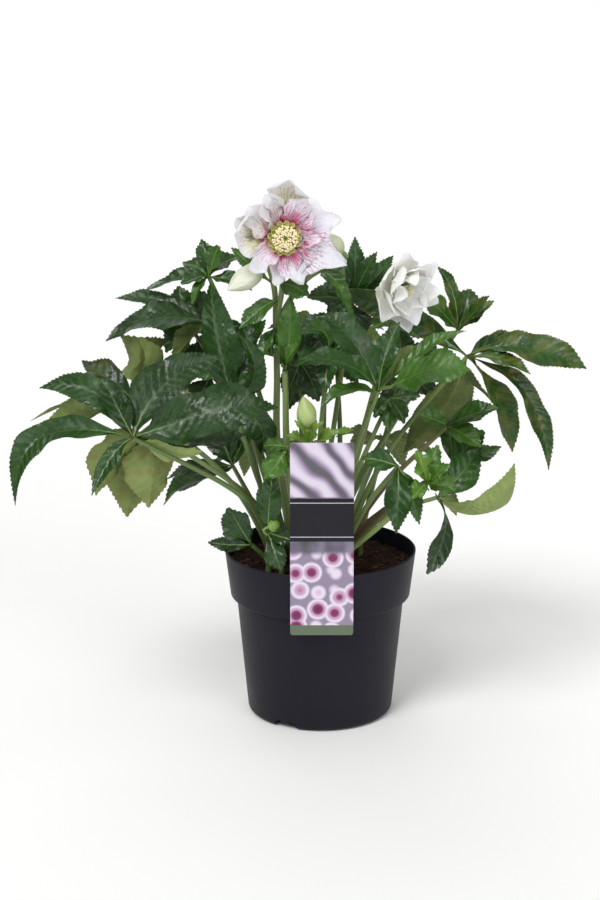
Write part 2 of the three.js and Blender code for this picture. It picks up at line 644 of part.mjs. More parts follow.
// ---------------------------------------------------------------- flower stems
// Each stem has branches, given as points from the stem's fork, and leafy bracts.
const STEMS = [
  {
    name: 'stem_main_bloom', foot: [-24, -4], via: [[-38, -12, 250], [-38, -14, 310]], fork: [-39, -15, 356],
    branches: [
      [[-33, -20, 392], [-35, -20, 418], ...behindBloom(MAIN_BLOOM)],
      [[-40, -12, 385], ...behindBud('bud_left')],
      [[-14, -6, 392], [14, -2, 408], ...behindBud('bud_right')],
    ],
    bracts: [
      { base: [-36, -18, 378], tip: [-70, -36, 356], width: 17, face: [-0.2, -0.8, 0.5] },
      { base: [-34, -20, 392], tip: [-11, -38, 385], width: 24, face: [0.1, -0.9, 0.4] },
      { base: [-39, -15, 354], tip: [-52, -30, 326], width: 13, face: [-0.3, -0.8, 0.4] },
      { base: [-39, -15, 354], tip: [-43, -28, 330], width: 15, face: [0, -0.8, 0.4] },
      { base: [-43, -15, 392], tip: [-77, -4, 420], width: 13, face: [-0.2, -0.8, 0.5] },
      { base: [0, -4, 400], tip: [17, -34, 387], width: 18, face: [0.3, -0.8, 0.5] },
      { base: [4, -4, 402], tip: [29, -16, 358], via: [17, -14, 384], width: 16, face: [0.4, -0.8, 0.4] },
    ],
  },
  {
    name: 'stem_white_bloom', foot: [8, -1], via: [[36, 0, 250], [56, 0, 330]], fork: [63, -4, 360],
    branches: [[...behindBloom(WHITE_BLOOM)]],
    bracts: [
      { base: [62, -3, 356], tip: [84, -22, 344], width: 14, face: [0.2, -0.7, 0.6] },
      { base: [62, -3, 356], tip: [44, -16, 352], width: 14, face: [-0.2, -0.7, 0.6] },
    ],
  },
  {
    name: 'stem_leafy', foot: [-13, -36], via: [[-28, -34, 230]], fork: [-31, -31, 318],
    branches: [],
    bracts: [
      { base: [-31, -31, 315], tip: [-17, -34, 346], width: 15, face: [-0.6, -0.5, 0.3] },
      { base: [-31, -31, 315], tip: [-40, -36, 342], width: 14, face: [0.7, -0.5, 0.3] },
      {
        base: [-31, -31, 315], tip: [-26, -26, 383], via: [-27, -30, 350], width: 22, face: [0.1, -0.9, 0.1],
      },
    ],
  },
  {
    name: 'stem_bud', foot: [0, -46], via: [[-4, -58, 220]], fork: [-9, -62, 262],
    branches: [[...behindBud('bud_upright')]],
    bracts: [
      { base: [-9, -62, 260], tip: [-23, -70, 284], width: 9, face: [0.6, -0.7, 0.3] },
      { base: [-9, -62, 260], tip: [2, -72, 284], width: 9, face: [-0.6, -0.7, 0.3] },
      { base: [-9, -62, 260], tip: [27, -68, 275], width: 11, face: [0, -0.6, 0.8] },
      { base: [-9, -62, 260], tip: [-32, -60, 268], width: 10, face: [0, -0.6, 0.8] },
      { base: [-9, -62, 260], tip: [-4, -38, 278], width: 9, face: [0, 0.6, 0.8] },
    ],
  },
];

function stemSolid({ foot, via, fork, branches, bracts }) {
  const stem = rootedStalk(foot, [...via, fork], STEM.flower, STEM.branch, 6, 5);
  const shoots = branches.map((points) => stalkSolid([fork, ...points], STEM.branch, STEM.branch, 4, 5));
  const leafy = bracts.map((bract) => leafletSolid(vec(bract.base), bract, bract.face));
  return joined([stem, ...shoots, ...leafy]);
}

for (const stem of STEMS) addMesh(stem.name, stemSolid(stem), '#6f9440', 0.5);

// ---------------------------------------------------------------- blooms
// A turned solid: the profile runs from the axis out and back to it, or closes on itself.
// `lobes` bumps of `depth` (a share of the radius) run round it.
function turnedSolid(profile, sides, lobes = 0, depth = 0) {
  const geometry = new THREE.LatheGeometry(profile.map(([r, z]) => new THREE.Vector2(r, z)), sides);
  geometry.rotateX(Math.PI / 2);
  const position = geometry.attributes.position;
  for (let i = 0; i < position.count; i += 1) {
    const [x, y] = [position.getX(i), position.getY(i)];
    const grow = 1 + depth * Math.cos(lobes * Math.atan2(y, x));
    position.setXY(i, x * grow, y * grow);
  }
  return solidOf(geometry);
}

function placed(solid, centre, axis) {
  const { out, up, right } = bloomAxes(axis);
  const matrix = new THREE.Matrix4().makeBasis(right, up, out).setPosition(...centre);
  return solid.transform(matrix.elements);
}

// A petal points away from the bloom's middle at `angle`. Its tip is `reach` out and `lift` forward, and its
// middle is `belly` out, or half as far as the tip, and `bulge` forward.
function bloomPetal({ centre, axis, start, steps }, petal) {
  const { out, up, right } = bloomAxes(axis);
  const angle = THREE.MathUtils.degToRad(petal.angle);
  const away = right.clone().multiplyScalar(Math.cos(angle)).addScaledVector(up, Math.sin(angle));
  const point = (reach, lift) => vec(centre).addScaledVector(away, reach).addScaledVector(out, lift);
  const base = point(start, petal.seat ?? -0.5);
  const tip = point(petal.reach, petal.lift);
  const via = point(petal.belly ?? petal.reach / 2, petal.bulge);
  return petalSolid(base, { ...petal, steps, tip: tip.toArray(), via: via.toArray() }, out);
}

function bloomSolid(bloom) {
  const base = placed(turnedSolid(bloom.receptacle, 8), bloom.centre, bloom.axis);
  return joined([base, ...bloom.petals.map((petal) => bloomPetal(bloom, petal))]);
}

const NECTARY_RING = [[9, 1.4], [13.2, 6.5], [13.4, 8], [11.6, 9.4], [10.9, 8], [9, 1.4]];
const STAMEN_HEAD = [[3.4, 1.4], [7.4, 1.4], [9.6, 9], [8, 11.5], [5, 11], [3.4, 1.4]];
const CARPELS = [[0, 1.4], [2.4, 1.4], [2.2, 8], [1, 12], [0, 12]];
const WHITE_STAMENS = [[0, 1.4], [4, 1.4], [6, 8], [5, 10.5], [0, 9.5]];

addMesh('bloom_main_petals', bloomSolid(MAIN_BLOOM), '#e6dce4', 0.6);
addMesh('bloom_white_petals', bloomSolid(WHITE_BLOOM), '#e9e9e4', 0.6);
for (const [name, bloom, profile, sides, lobes, depth, colour] of [
  ['bloom_main_nectaries', MAIN_BLOOM, NECTARY_RING, 26, 13, 0.05, '#8f9a45'],
  ['bloom_main_stamens', MAIN_BLOOM, STAMEN_HEAD, 22, 11, 0.05, '#ecdcae'],
  ['bloom_main_carpels', MAIN_BLOOM, CARPELS, 10, 5, 0.15, '#a9b45c'],
  ['bloom_white_stamens', WHITE_BLOOM, WHITE_STAMENS, 16, 8, 0.08, '#e6d9a0'],
]) addMesh(name, placed(turnedSolid(profile, sides, lobes, depth), bloom.centre, bloom.axis), colour, 0.7);

// ---------------------------------------------------------------- buds
const BUD_PROFILE = [[0, 0], [0.28, 0], [0.9, 0.25], [1, 0.5], [0.6, 0.82], [0, 1]];

for (const { name, base, tip, radius, colour } of BUDS) {
  const axis = vec(tip).sub(vec(base));
  const profile = BUD_PROFILE.map(([r, z]) => [r * radius, z * axis.length()]);
  addMesh(name, placed(turnedSolid(profile, 10, 5, 0.08), base, axis.toArray()), colour, 0.55);
}

// ---------------------------------------------------------------- pot
const COLLAR = POT.height - POT.collarHeight;
const OUTER_WALL = [
  [POT.baseRadius - POT.corner, 0], [POT.baseRadius, POT.corner], [POT.neckRadius, COLLAR - POT.shoulder],
  [POT.collarRadius, COLLAR], [POT.rimRadius, POT.height],
];
const INNER_WALL = [
  [POT.baseRadius - POT.corner - POT.wall, POT.floor], [POT.baseRadius - POT.wall, POT.floor + POT.corner],
  [POT.neckRadius - POT.wall, COLLAR - POT.shoulder + 1], [POT.collarRadius - POT.wall, COLLAR + 1],
  [POT.rimRadius - POT.wall, POT.height],
];

// A radial bar of trapezoid section, standing on the given height, from `start` outwards.
function radialBar(bottom, top, height, start, length, standing, degrees) {
  const section = new THREE.Shape([[-bottom / 2, 0], [bottom / 2, 0], [top / 2, height], [-top / 2, height]]
    .map(([x, y]) => new THREE.Vector2(x, y)));
  const geometry = new THREE.ExtrudeGeometry(section, { depth: length, bevelEnabled: false });
  const basis = new THREE.Matrix4().makeBasis(vec([0, 1, 0]), vec([0, 0, 1]), vec([1, 0, 0]));
  geometry.applyMatrix4(basis.setPosition(start, 0, standing));
  geometry.rotateZ(THREE.MathUtils.degToRad(degrees));
  return solidOf(geometry);
}

// A drainage channel under the pot: `taper` narrower at its top, with a ridge of the floor over it.
const notchAngles = Array.from({ length: POT.notches }, (_, i) => POT.firstNotch + (360 / POT.notches) * i);
const channel = (degrees) => radialBar(
  POT.notchWidth + 1, POT.notchWidth + 1 - POT.notchTaper, POT.notchHeight + 1,
  POT.notchInner, POT.rimRadius, -1, degrees,
);
const ridge = (degrees, grow) => radialBar(
  POT.notchWidth + 5 + 2 * grow, POT.notchWidth + 5 - POT.notchTaper + 2 * grow,
  POT.notchHeight + POT.floor + grow, POT.notchInner - 3 - grow, POT.rimRadius, 0, degrees,
);

function potSolid() {
  const body = turnedSolid([[0, 0], ...OUTER_WALL, [0, POT.height]], POT.sides);
  const shell = turnedSolid([[0, 0], ...OUTER_WALL, ...[...INNER_WALL].reverse(), [0, POT.floor]], POT.sides);
  return notchAngles.reduce((pot, degrees) => {
    const drain = new THREE.CylinderGeometry(POT.drainRadius, POT.drainRadius, 30, 10);
    drain.rotateX(Math.PI / 2).translate(POT.notchInner + 14, 0, 0);
    drain.rotateZ(THREE.MathUtils.degToRad(degrees));
    return pot.add(ridge(degrees, 0).intersect(body)).subtract(channel(degrees)).subtract(solidOf(drain));
  }, shell);
}
addMesh('pot', potSolid(), '#2b2b34', 0.5);

// ---------------------------------------------------------------- tag
// The stake behind the card runs over the rim and leans down into the soil, `lean` further in at its end.
const TAG_BACK = POT.rimRadius + GAP;
const STAKE = { top: -POT.rimRadius + TAG.rimReach, end: -POT.rimRadius + TAG.rimReach + TAG.lean };
const HOOK = [
  [-TAG_BACK - 0.6, TAG.hookTop - TAG.thickness], [-TAG_BACK - 0.6, TAG.hookTop], [STAKE.top, TAG.hookTop],
  [STAKE.end, TAG.stakeEnd], [STAKE.end - TAG.thickness, TAG.stakeEnd],
  [STAKE.top - TAG.thickness, TAG.hookTop - TAG.thickness],
];

// A section in the YZ plane, `width` wide across X.
function acrossX(outlineYZ, width) {
  const shape = new THREE.Shape(outlineYZ.map(([y, z]) => new THREE.Vector2(y, z)));
  const geometry = new THREE.ExtrudeGeometry(shape, { depth: width, bevelEnabled: false });
  const basis = new THREE.Matrix4().makeBasis(vec([0, 1, 0]), vec([0, 0, 1]), vec([1, 0, 0]));
  geometry.applyMatrix4(basis.setPosition(TAG.centreX - width / 2, 0, 0));
  return solidOf(geometry);
}

function tagSolid() {
  const [w, h, r] = [TAG.width / 2, TAG.top - TAG.bottom, TAG.corner];
  const card = new THREE.Shape();
  card.moveTo(-w + r, 0).lineTo(w - r, 0).quadraticCurveTo(w, 0, w, r)
    .lineTo(w, h - r).quadraticCurveTo(w, h, w - r, h)
    .lineTo(-w + r, h).quadraticCurveTo(-w, h, -w, h - r)
    .lineTo(-w, r).quadraticCurveTo(-w, 0, -w + r, 0);
  const options = { depth: TAG.thickness, bevelEnabled: false, curveSegments: 3 };
  const geometry = new THREE.ExtrudeGeometry(card, options);
  geometry.rotateX(Math.PI / 2).translate(TAG.centreX, -TAG_BACK, TAG.bottom);
  return solidOf(geometry).add(acrossX(HOOK, TAG.hookWidth));
}
addMesh('tag', tagSolid(), '#cfc6dc', 0.3);

// ---------------------------------------------------------------- soil
const lumps = (x, y) => (
  SOIL.lump * (0.5 * Math.sin(0.21 * x + 1.3) * Math.cos(0.17 * y) + 0.3 * Math.sin(0.4 * y - 0.3 * x))
);

function soilSolid() {
  const [lowFoot, bend, neck, collar] = INNER_WALL;
  const share = (SOIL.level - collar[1]) / (POT.height - collar[1]);
  const edge = THREE.MathUtils.lerp(collar[0], POT.rimRadius - POT.wall, share) - GAP;
  const top = Array.from({ length: SOIL.rings }, (_, i) => [edge * (1 - i / SOIL.rings), SOIL.level]);
  const wall = [[lowFoot[0], POT.floor + GAP], bend, neck, collar].map(([r, z]) => [r - GAP, z]);
  const section = [[0, POT.floor + GAP], ...wall, ...top, [0, SOIL.level]];
  const geometry = new THREE.LatheGeometry(section.map(([r, z]) => new THREE.Vector2(r, z)), SOIL.sides);
  geometry.rotateX(Math.PI / 2);
  const position = geometry.attributes.position;
  for (let i = 0; i < position.count; i += 1) {
    const atTop = position.getZ(i) > SOIL.level - 0.1;
    if (atTop) position.setZ(i, SOIL.level + lumps(position.getX(i), position.getY(i)));
  }
  const holes = [
    ...ALL_LEAVES.map(({ foot }) => [foot, STEM.petiole]), ...STEMS.map(({ foot }) => [foot, STEM.flower]),
  ].map(([[x, y], radius]) => {
    const open = (radius + GAP) / Math.cos(Math.PI / STEM.holeSides) + 0.05;
    const hole = new THREE.CylinderGeometry(open, open, 2 * SOIL.footDepth, STEM.holeSides);
    return solidOf(hole.rotateX(Math.PI / 2).translate(x, y, SOIL.level - GAP));
  });
  const slot = acrossX([
    [-POT.rimRadius, TAG.stakeEnd - GAP], [STAKE.end + GAP, TAG.stakeEnd - GAP],
    [STAKE.top + GAP, TAG.hookTop], [-POT.rimRadius, TAG.hookTop],
  ], TAG.hookWidth + 2 * GAP);
  return [...notchAngles.map((degrees) => ridge(degrees, GAP)), ...holes, slot]
    .reduce((soil, cut) => soil.subtract(cut), solidOf(geometry));
}
addMesh('soil', soilSolid(), '#2a1a14', 0.95);

export default group;
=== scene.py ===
# Hellebore (lenten rose) growing in a nursery pot, with a plain plant tag hooked over the rim.
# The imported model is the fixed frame. Everything is in its frame; sizes are written in millimetres.

import math
import random
from functools import partial

import bpy
from mathutils import Matrix, Quaternion, Vector, noise


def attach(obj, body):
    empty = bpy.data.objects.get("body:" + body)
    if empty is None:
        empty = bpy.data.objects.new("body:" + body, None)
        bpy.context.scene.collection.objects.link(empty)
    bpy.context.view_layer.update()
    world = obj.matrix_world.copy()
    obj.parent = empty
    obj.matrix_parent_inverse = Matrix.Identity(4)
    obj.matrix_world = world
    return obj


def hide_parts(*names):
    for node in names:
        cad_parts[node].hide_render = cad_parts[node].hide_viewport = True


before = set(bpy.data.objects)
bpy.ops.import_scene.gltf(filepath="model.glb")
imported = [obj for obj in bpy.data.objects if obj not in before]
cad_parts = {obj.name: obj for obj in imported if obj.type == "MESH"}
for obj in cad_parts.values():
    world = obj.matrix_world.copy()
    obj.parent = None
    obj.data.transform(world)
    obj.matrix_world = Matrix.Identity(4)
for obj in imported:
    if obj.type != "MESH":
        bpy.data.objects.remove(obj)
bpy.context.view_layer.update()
MM = 0.001

# ------------------------------------------------------------------ camera
# Stands about 1.8 m in front of the plant, a little above it, and looks gently down.
CAMERA = {"place": (-0.0181, -1.8, 0.7175), "tilt": 75.13, "lens": 84.6, "sensor": 36, "sees_to": 60}
camera_lens = bpy.data.cameras.new("camera")
camera_lens.lens = CAMERA["lens"]
camera_lens.sensor_width = CAMERA["sensor"]
camera_lens.clip_end = CAMERA["sees_to"]
camera = bpy.data.objects.new("camera", camera_lens)
camera.location = CAMERA["place"]
camera.rotation_euler = (math.radians(CAMERA["tilt"]), 0, 0)
bpy.context.scene.collection.objects.link(camera)
bpy.context.scene.camera = camera
bpy.context.scene.view_settings.view_transform = "Standard"


# ------------------------------------------------------------------ floor and studio light
# A wide pale matt floor before a white backdrop, under a surround that is brighter overhead: a studio tent
# with a large soft key light from high in front on the left, a weaker one from the right and one behind.
def to_linear(hex_colour):
    """An sRGB hex colour as the linear colour that a shader socket takes."""
    shares = [int(hex_colour[i:i + 2], 16) / 255 for i in (1, 3, 5)]
    return [s / 12.92 if s <= 0.04045 else ((s + 0.055) / 1.055) ** 2.4 for s in shares] + [1.0]


def add_node(tree, kind, inputs=(), stops=(), **settings):
    """Adds a shader node. Its inputs go by name or in order, and are values, hex colours, or other nodes or
    their outputs, which are linked. A ramp's stops are places and hex colours."""
    node = tree.nodes.new("ShaderNode" + kind)
    for setting, value in settings.items():
        setattr(node, setting, value)
    for socket, value in (inputs if isinstance(inputs, dict) else dict(enumerate(inputs))).items():
        if isinstance(value, bpy.types.Node):
            value = next(output for output in value.outputs if output.enabled)
        if isinstance(value, bpy.types.NodeSocket):
            tree.links.new(value, node.inputs[socket])
        else:
            node.inputs[socket].default_value = to_linear(value) if isinstance(value, str) else value
    for _ in stops[2:]:
        node.color_ramp.elements.new(0.5)
    for element, (position, colour) in zip(node.color_ramp.elements if stops else (), stops):
        element.position = position
        element.color = to_linear(colour)
    return node


def new_material(name):
    """An empty material, and the function that adds its nodes."""
    material = bpy.data.materials.new(name)
    material.use_nodes = True
    material.node_tree.nodes.clear()
    return material, partial(add_node, material.node_tree)


def finish_material(add, inputs):
    """Ends a material in one principled shader."""
    add("OutputMaterial", {"Surface": add("BsdfPrincipled", inputs)})


def linked_object(name, mesh, *materials):
    """An object in the scene, with its mesh and the materials of its faces."""
    piece = bpy.data.objects.new(name, mesh)
    for material in materials:
        mesh.materials.append(material)
    bpy.context.scene.collection.objects.link(piece)
    return piece


FLOOR = {"reach": 24000, "drop": 0.5}
floor_mesh = bpy.data.meshes.new("floor")
floor_mesh.from_pydata([
    (x * FLOOR["reach"] * MM, y * FLOOR["reach"] * MM, -FLOOR["drop"] * MM)
    for x, y in ((-1, -1), (1, -1), (1, 1), (-1, 1))
], [], [(0, 1, 2, 3)])
paper, add = new_material("studio_paper")
grain = add("TexNoise", {"Scale": 900, "Detail": 2})
bump = add("Bump", {"Height": grain, "Strength": 0.05, "Distance": 0.2 * MM})
finish_material(add, {"Base Color": "#f4f4f3", "Roughness": 0.9, "Normal": bump})
linked_object("floor", floor_mesh, paper)

SOFT_LIGHTS = {
    "key": {"from": (-0.45, -0.8, 1.0), "strength": 1.85, "spread": 24},
    "fill": {"from": (0.7, -1.0, 0.4), "strength": 1.1, "spread": 40},
    "rear": {"from": (-0.2, 1.0, 0.9), "strength": 0.6, "spread": 40},
}
for name, soft in SOFT_LIGHTS.items():
    lamp = bpy.data.lights.new(name, "SUN")
    lamp.energy = soft["strength"]
    lamp.angle = math.radians(soft["spread"])
    light = bpy.data.objects.new(name, lamp)
    light.rotation_euler = Vector(soft["from"]).to_track_quat("Z", "Y").to_euler()
    bpy.context.scene.collection.objects.link(light)

SURROUND = {"level": 0.14, "overhead": 0.64}
surround = bpy.data.worlds.new("surround")
surround.use_nodes = True
add = partial(add_node, surround.node_tree)
height = add("SeparateXYZ", [add("TexCoord").outputs["Generated"]]).outputs["Z"]
brighter = add("MapRange", {"Value": height, "To Min": SURROUND["level"], "To Max": SURROUND["overhead"]})
backdrop = add("LightPath").outputs["Is Camera Ray"]
strength = add("Math", [brighter, backdrop], operation="MAXIMUM")
background = surround.node_tree.nodes["Background"]
background.inputs["Color"].default_value = (1, 1, 1, 1)
surround.node_tree.links.new(strength.outputs[0], background.inputs["Strength"])
bpy.context.scene.world = surround


# ------------------------------------------------------------------ pot
# The 17 cm nursery pot: polypropylene, injection moulded in one piece. A collar steps out under the
# rim, and three shallow arches in the foot let water out from under it.
POT = {
    "height": 150, "rim": 85, "bead": 1, "collar_height": 41, "collar": 80.5, "neck": 74.5, "shoulder": 4,
    "base": 65, "corner": 5, "wall": 2, "floor": 2.4, "sides": 192,
}
STEP = {"inset": 2, "rise": 0.6, "radius": 1.6}
NOTCH = {
    "count": 3, "first": -119, "half_width": 11.5, "height": 6, "inner": 24, "flare": 1,
    "round_from": 4, "round_drop": 3, "round": 3.2,
}


def arc(centre, radius, start, end, steps):
    """Points of an arc in the section, from `start` to `end` degrees."""
    angles = [math.radians(start + (end - start) * i / steps) for i in range(steps + 1)]
    return [(centre[0] + radius * math.cos(a), centre[1] + radius * math.sin(a)) for a in angles]


def turned_mesh(name, profile, sides, shape=None):
    """Turns a closed profile of (radius, height) round the axis. `shape` may move each point."""
    points, faces, rings = [], [], []
    for radius, height in profile:
        ring = []
        for k in range(sides if radius > 0 else 1):
            angle = 2 * math.pi * k / sides
            point = Vector((radius * math.cos(angle), radius * math.sin(angle), height))
            points.append((shape(point) if shape else point) * MM)
            ring.append(len(points) - 1)
        rings.append(ring)
    for lower, upper in zip(rings, rings[1:] + rings[:1]):
        if len(lower) == 1 and len(upper) == 1:
            continue
        for k in range(sides):
            corners = [
                lower[k % len(lower)], lower[(k + 1) % len(lower)],
                upper[(k + 1) % len(upper)], upper[k % len(upper)],
            ]
            faces.append(list(dict.fromkeys(corners)))
    mesh = bpy.data.meshes.new(name)
    mesh.from_pydata(points, [], faces)
    return mesh


def smooth(mesh, sharp_from):
    """Smooth shading, with edges sharper than the given degrees kept crisp."""
    mesh.polygons.foreach_set("use_smooth", [True] * len(mesh.polygons))
    mesh.set_sharp_from_angle(angle=math.radians(sharp_from))
    mesh.update()


def notch_bar(degrees):
    """A bar with rounded upper edges, lying from near the pot's middle outwards."""
    half = NOTCH["half_width"]
    round_centre = (half - NOTCH["round_from"], NOTCH["height"] - NOTCH["round_drop"])
    section = [(half + NOTCH["flare"], -1), *arc(round_centre, NOTCH["round"], 10, 90, 4)]
    section += [(-y, z) for y, z in reversed(section)]
    points = [(x, y, z) for x in (NOTCH["inner"], POT["rim"]) for y, z in section]
    count = len(section)
    faces = [(k, (k + 1) % count, count + (k + 1) % count, count + k) for k in range(count)]
    faces += [list(reversed(range(count))), list(range(count, 2 * count))]
    mesh = bpy.data.meshes.new("notch")
    mesh.from_pydata(points, [], faces)
    mesh.transform(Matrix.Rotation(math.radians(degrees), 4, "Z") @ Matrix.Scale(MM, 4))
    return linked_object("notch", mesh)


def cut_out(piece, tool):
    """Cuts a tool's shape out of a piece, and uses the tool up."""
    modifier = piece.modifiers.new("cut", "BOOLEAN")
    modifier.operation = "DIFFERENCE"
    modifier.object = tool
    evaluated = piece.evaluated_get(bpy.context.evaluated_depsgraph_get())
    piece.data = bpy.data.meshes.new_from_object(evaluated)
    piece.modifiers.clear()
    bpy.data.objects.remove(tool)


def settle(piece, stands_for=None):
    """Everything rides on the one body. A piece may name the node it stands for, which is then hidden."""
    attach(piece, "root")
    if stands_for:
        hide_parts(stands_for)


collar_foot = POT["height"] - POT["collar_height"]
outer_wall = [
    *arc((POT["base"] - POT["corner"], POT["corner"]), POT["corner"], -90, 0, 6),
    (POT["neck"], collar_foot - POT["shoulder"]),
    *arc((POT["collar"] - STEP["inset"], collar_foot + STEP["rise"]), STEP["radius"], -60, 0, 4),
    *arc((POT["rim"] - POT["bead"], POT["height"] - POT["bead"]), POT["bead"], 0, 180, 8),
]
inner_wall = [
    (POT["collar"] - POT["wall"], collar_foot + 1),
    (POT["neck"] - POT["wall"], collar_foot - POT["shoulder"] + 1),
    (POT["base"] - POT["wall"], POT["floor"] + POT["corner"]),
    (POT["base"] - POT["corner"] - POT["wall"], POT["floor"]),
]
pot_mesh = turned_mesh("pot_shell", [(0, 0), *outer_wall, *inner_wall, (0, POT["floor"])], POT["sides"])

# Mixes of colours have their factor in socket 0 and the two colours in sockets 6 and 7.
COLOURS = {"data_type": "RGBA"}

# Moulded polypropylene with carbon black: a satin black that a fine texture in the mould keeps from
# shining, with faint rubbed marks. IOR 1.49.
polypropylene, add = new_material("moulded_polypropylene")
place = add("TexCoord").outputs["Object"]
texture = add("TexNoise", {"Vector": place, "Scale": 1 / (0.8 * MM), "Detail": 3})
clouds = add("TexNoise", {"Vector": place, "Scale": 1 / (60 * MM), "Detail": 4})
tint = add("Mix", {0: clouds, 6: "#15151d", 7: "#1c1b26"}, **COLOURS)
sheen = add("MapRange", [clouds, 0.3, 0.7, 0.42, 0.52])
bump = add("Bump", {"Height": texture, "Strength": 0.25, "Distance": 0.1 * MM})
finish_material(add, {
    "Base Color": tint, "Roughness": sheen, "IOR": 1.49, "Specular IOR Level": 0.16, "Normal": bump,
})

pot = linked_object("pot_shell", pot_mesh, polypropylene)
for k in range(NOTCH["count"]):
    cut_out(pot, notch_bar(NOTCH["first"] + 360 / NOTCH["count"] * k))
smooth(pot.data, 35)
settle(pot, "pot")


# ------------------------------------------------------------------ soil
# Peat potting soil, filled to 14 mm under the rim: dark moist crumbs with coir fibres and bits of bark
# on a lumpy surface.
SOIL = {
    "level": 136, "lump": 3, "rings": 70, "sides": 170, "gap": 0.3, "wall_gap": 0.2,
    "crumbs": [{"height": 1.1, "size": 4, "slice": 0}, {"height": 0.6, "size": 1.7, "slice": 9}],
}


def soil_height(x, y):
    """The soil's surface: broad lumps 13 to 37 mm long, with crumbs of two sizes on them."""
    lumps = 0.5 * math.sin(0.21 * x + 1.3) * math.cos(0.17 * y) + 0.3 * math.sin(0.4 * y - 0.3 * x)
    crumbs = sum(c["height"] * noise.noise(Vector((x, y, c["slice"])) / c["size"]) for c in SOIL["crumbs"])
    return SOIL["level"] + SOIL["lump"] * lumps + crumbs


def soil_shape(point):
    """Lifts the points of the soil's top to its surface."""
    if point.z > SOIL["level"] - 0.1:
        point.z = soil_height(point.x, point.y)
    return point


above_collar = (SOIL["level"] - inner_wall[0][1]) / (POT["height"] - inner_wall[0][1])
soil_edge = inner_wall[0][0] + (POT["rim"] - POT["collar"]) * above_collar - SOIL["wall_gap"]
soil_profile = [(0, POT["floor"] + SOIL["gap"])]
soil_profile += [(radius - SOIL["gap"], height + SOIL["gap"]) for radius, height in reversed(inner_wall)]
soil_profile += [(soil_edge * (1 - k / SOIL["rings"]), SOIL["level"]) for k in range(SOIL["rings"] + 1)]
soil_mesh = turned_mesh("soil_bed", soil_profile, SOIL["sides"], soil_shape)
smooth(soil_mesh, 60)

# Peat: nearly black-brown, crumbly and matt, reddish where it dries. Crumb grain 1.5 mm.
peat, add = new_material("peat_soil")
place = add("TexCoord").outputs["Object"]
crumb = add("TexNoise", {"Vector": place, "Scale": 1 / (1.5 * MM), "Detail": 6, "Roughness": 0.7})
patch = add("TexNoise", {"Vector": place, "Scale": 1 / (14 * MM), "Detail": 3})
moist = add("Mix", {0: crumb, 6: "#120b08", 7: "#3a241a"}, **COLOURS)
dried = add("MapRange", [patch, 0.45, 0.75, 0, 0.6])
tint = add("Mix", {0: dried, 6: moist, 7: "#4b2c1d"}, **COLOURS)
bump = add("Bump", {"Height": crumb, "Strength": 1, "Distance": 1 * MM})
finish_material(add, {"Base Color": tint, "Roughness": 0.95, "Specular IOR Level": 0.2, "Normal": bump})
settle(linked_object("soil_bed", soil_mesh, peat), "soil")


def new_sheet():
    """An empty mesh in the making. Each face has a kind, which is its material. Each point has its place on
    the blade in mm, with its share of the way to the edge or end, and a state, such as its tone and age."""
    return {"points": [], "faces": [], "kinds": [], "blade_mm": [], "state": []}


def add_point(sheet, point, blade_mm=(0, 0, 0), state=(0, 0, 0)):
    """Adds a point and gives its number."""
    sheet["points"].append(point * MM)
    sheet["blade_mm"].append(blade_mm)
    sheet["state"].append(state)
    return len(sheet["points"]) - 1


def add_face(sheet, corners, kind=0):
    """A face, without corners that meet in one point."""
    corners = list(dict.fromkeys(corners))
    if len(corners) > 2:
        sheet["faces"].append(corners)
        sheet["kinds"].append(kind)


def settle_sheet(name, sheet, materials, stands_for=None):
    """Makes the finished piece, with its points' values for the materials, and settles it."""
    mesh = bpy.data.meshes.new(name)
    mesh.from_pydata(sheet["points"], [], sheet["faces"])
    mesh.polygons.foreach_set("material_index", sheet["kinds"])
    for attribute in ("blade_mm", "state"):
        layer = mesh.attributes.new(attribute, "FLOAT_VECTOR", "POINT")
        layer.data.foreach_set("vector", [value for values in sheet[attribute] for value in values])
    smooth(mesh, 60)
    settle(linked_object(name, mesh, *materials), stands_for)


def point_values(add, attribute):
    """The points' values in a material: as they are, and each of the three."""
    values = add("Attribute", attribute_name=attribute).outputs["Vector"]
    return values, *add("SeparateXYZ", [values]).outputs


def add_ring(sheet, centre, along, side, radius, sides, far, share=0, state=(0, 0, 0), shape=None):
    """A ring of points round a centre; `far` is how far along the piece it is."""
    ring = []
    for k in range(sides):
        angle = 2 * math.pi * k / sides
        offset = side * math.cos(angle) + along.cross(side) * math.sin(angle)
        grow = shape(share, angle) if shape else 1
        ring.append(add_point(sheet, centre + offset * radius * grow, (far, angle * radius, share), state))
    return ring


def close_rings(sheet, rings, kind):
    """Joins each ring of points to the next, and closes both ends."""
    for lower, upper in zip(rings, rings[1:]):
        for k, corner in enumerate(lower):
            after = (k + 1) % len(lower)
            add_face(sheet, [corner, lower[after], upper[after], upper[k]], kind)
    add_face(sheet, rings[0][::-1], kind)
    add_face(sheet, rings[-1], kind)


def add_tube(sheet, path, radii, sides, kind=0, states=None):
    """A closed round tube along a path, with a radius and perhaps a state for each of its points."""
    states = states or [(0, 0, 0)] * len(path)
    rings = []
    side = None
    far = 0
    for i, point in enumerate(path):
        before = path[max(i - 1, 0)]
        along = (path[min(i + 1, len(path) - 1)] - before).normalized()
        if side is None:
            side = along.orthogonal().normalized()
        side = (side - along * side.dot(along)).normalized()
        far += (point - before).length
        rings.append(add_ring(sheet, point, along, side, radii[i], sides, far, state=states[i]))
    close_rings(sheet, rings, kind)


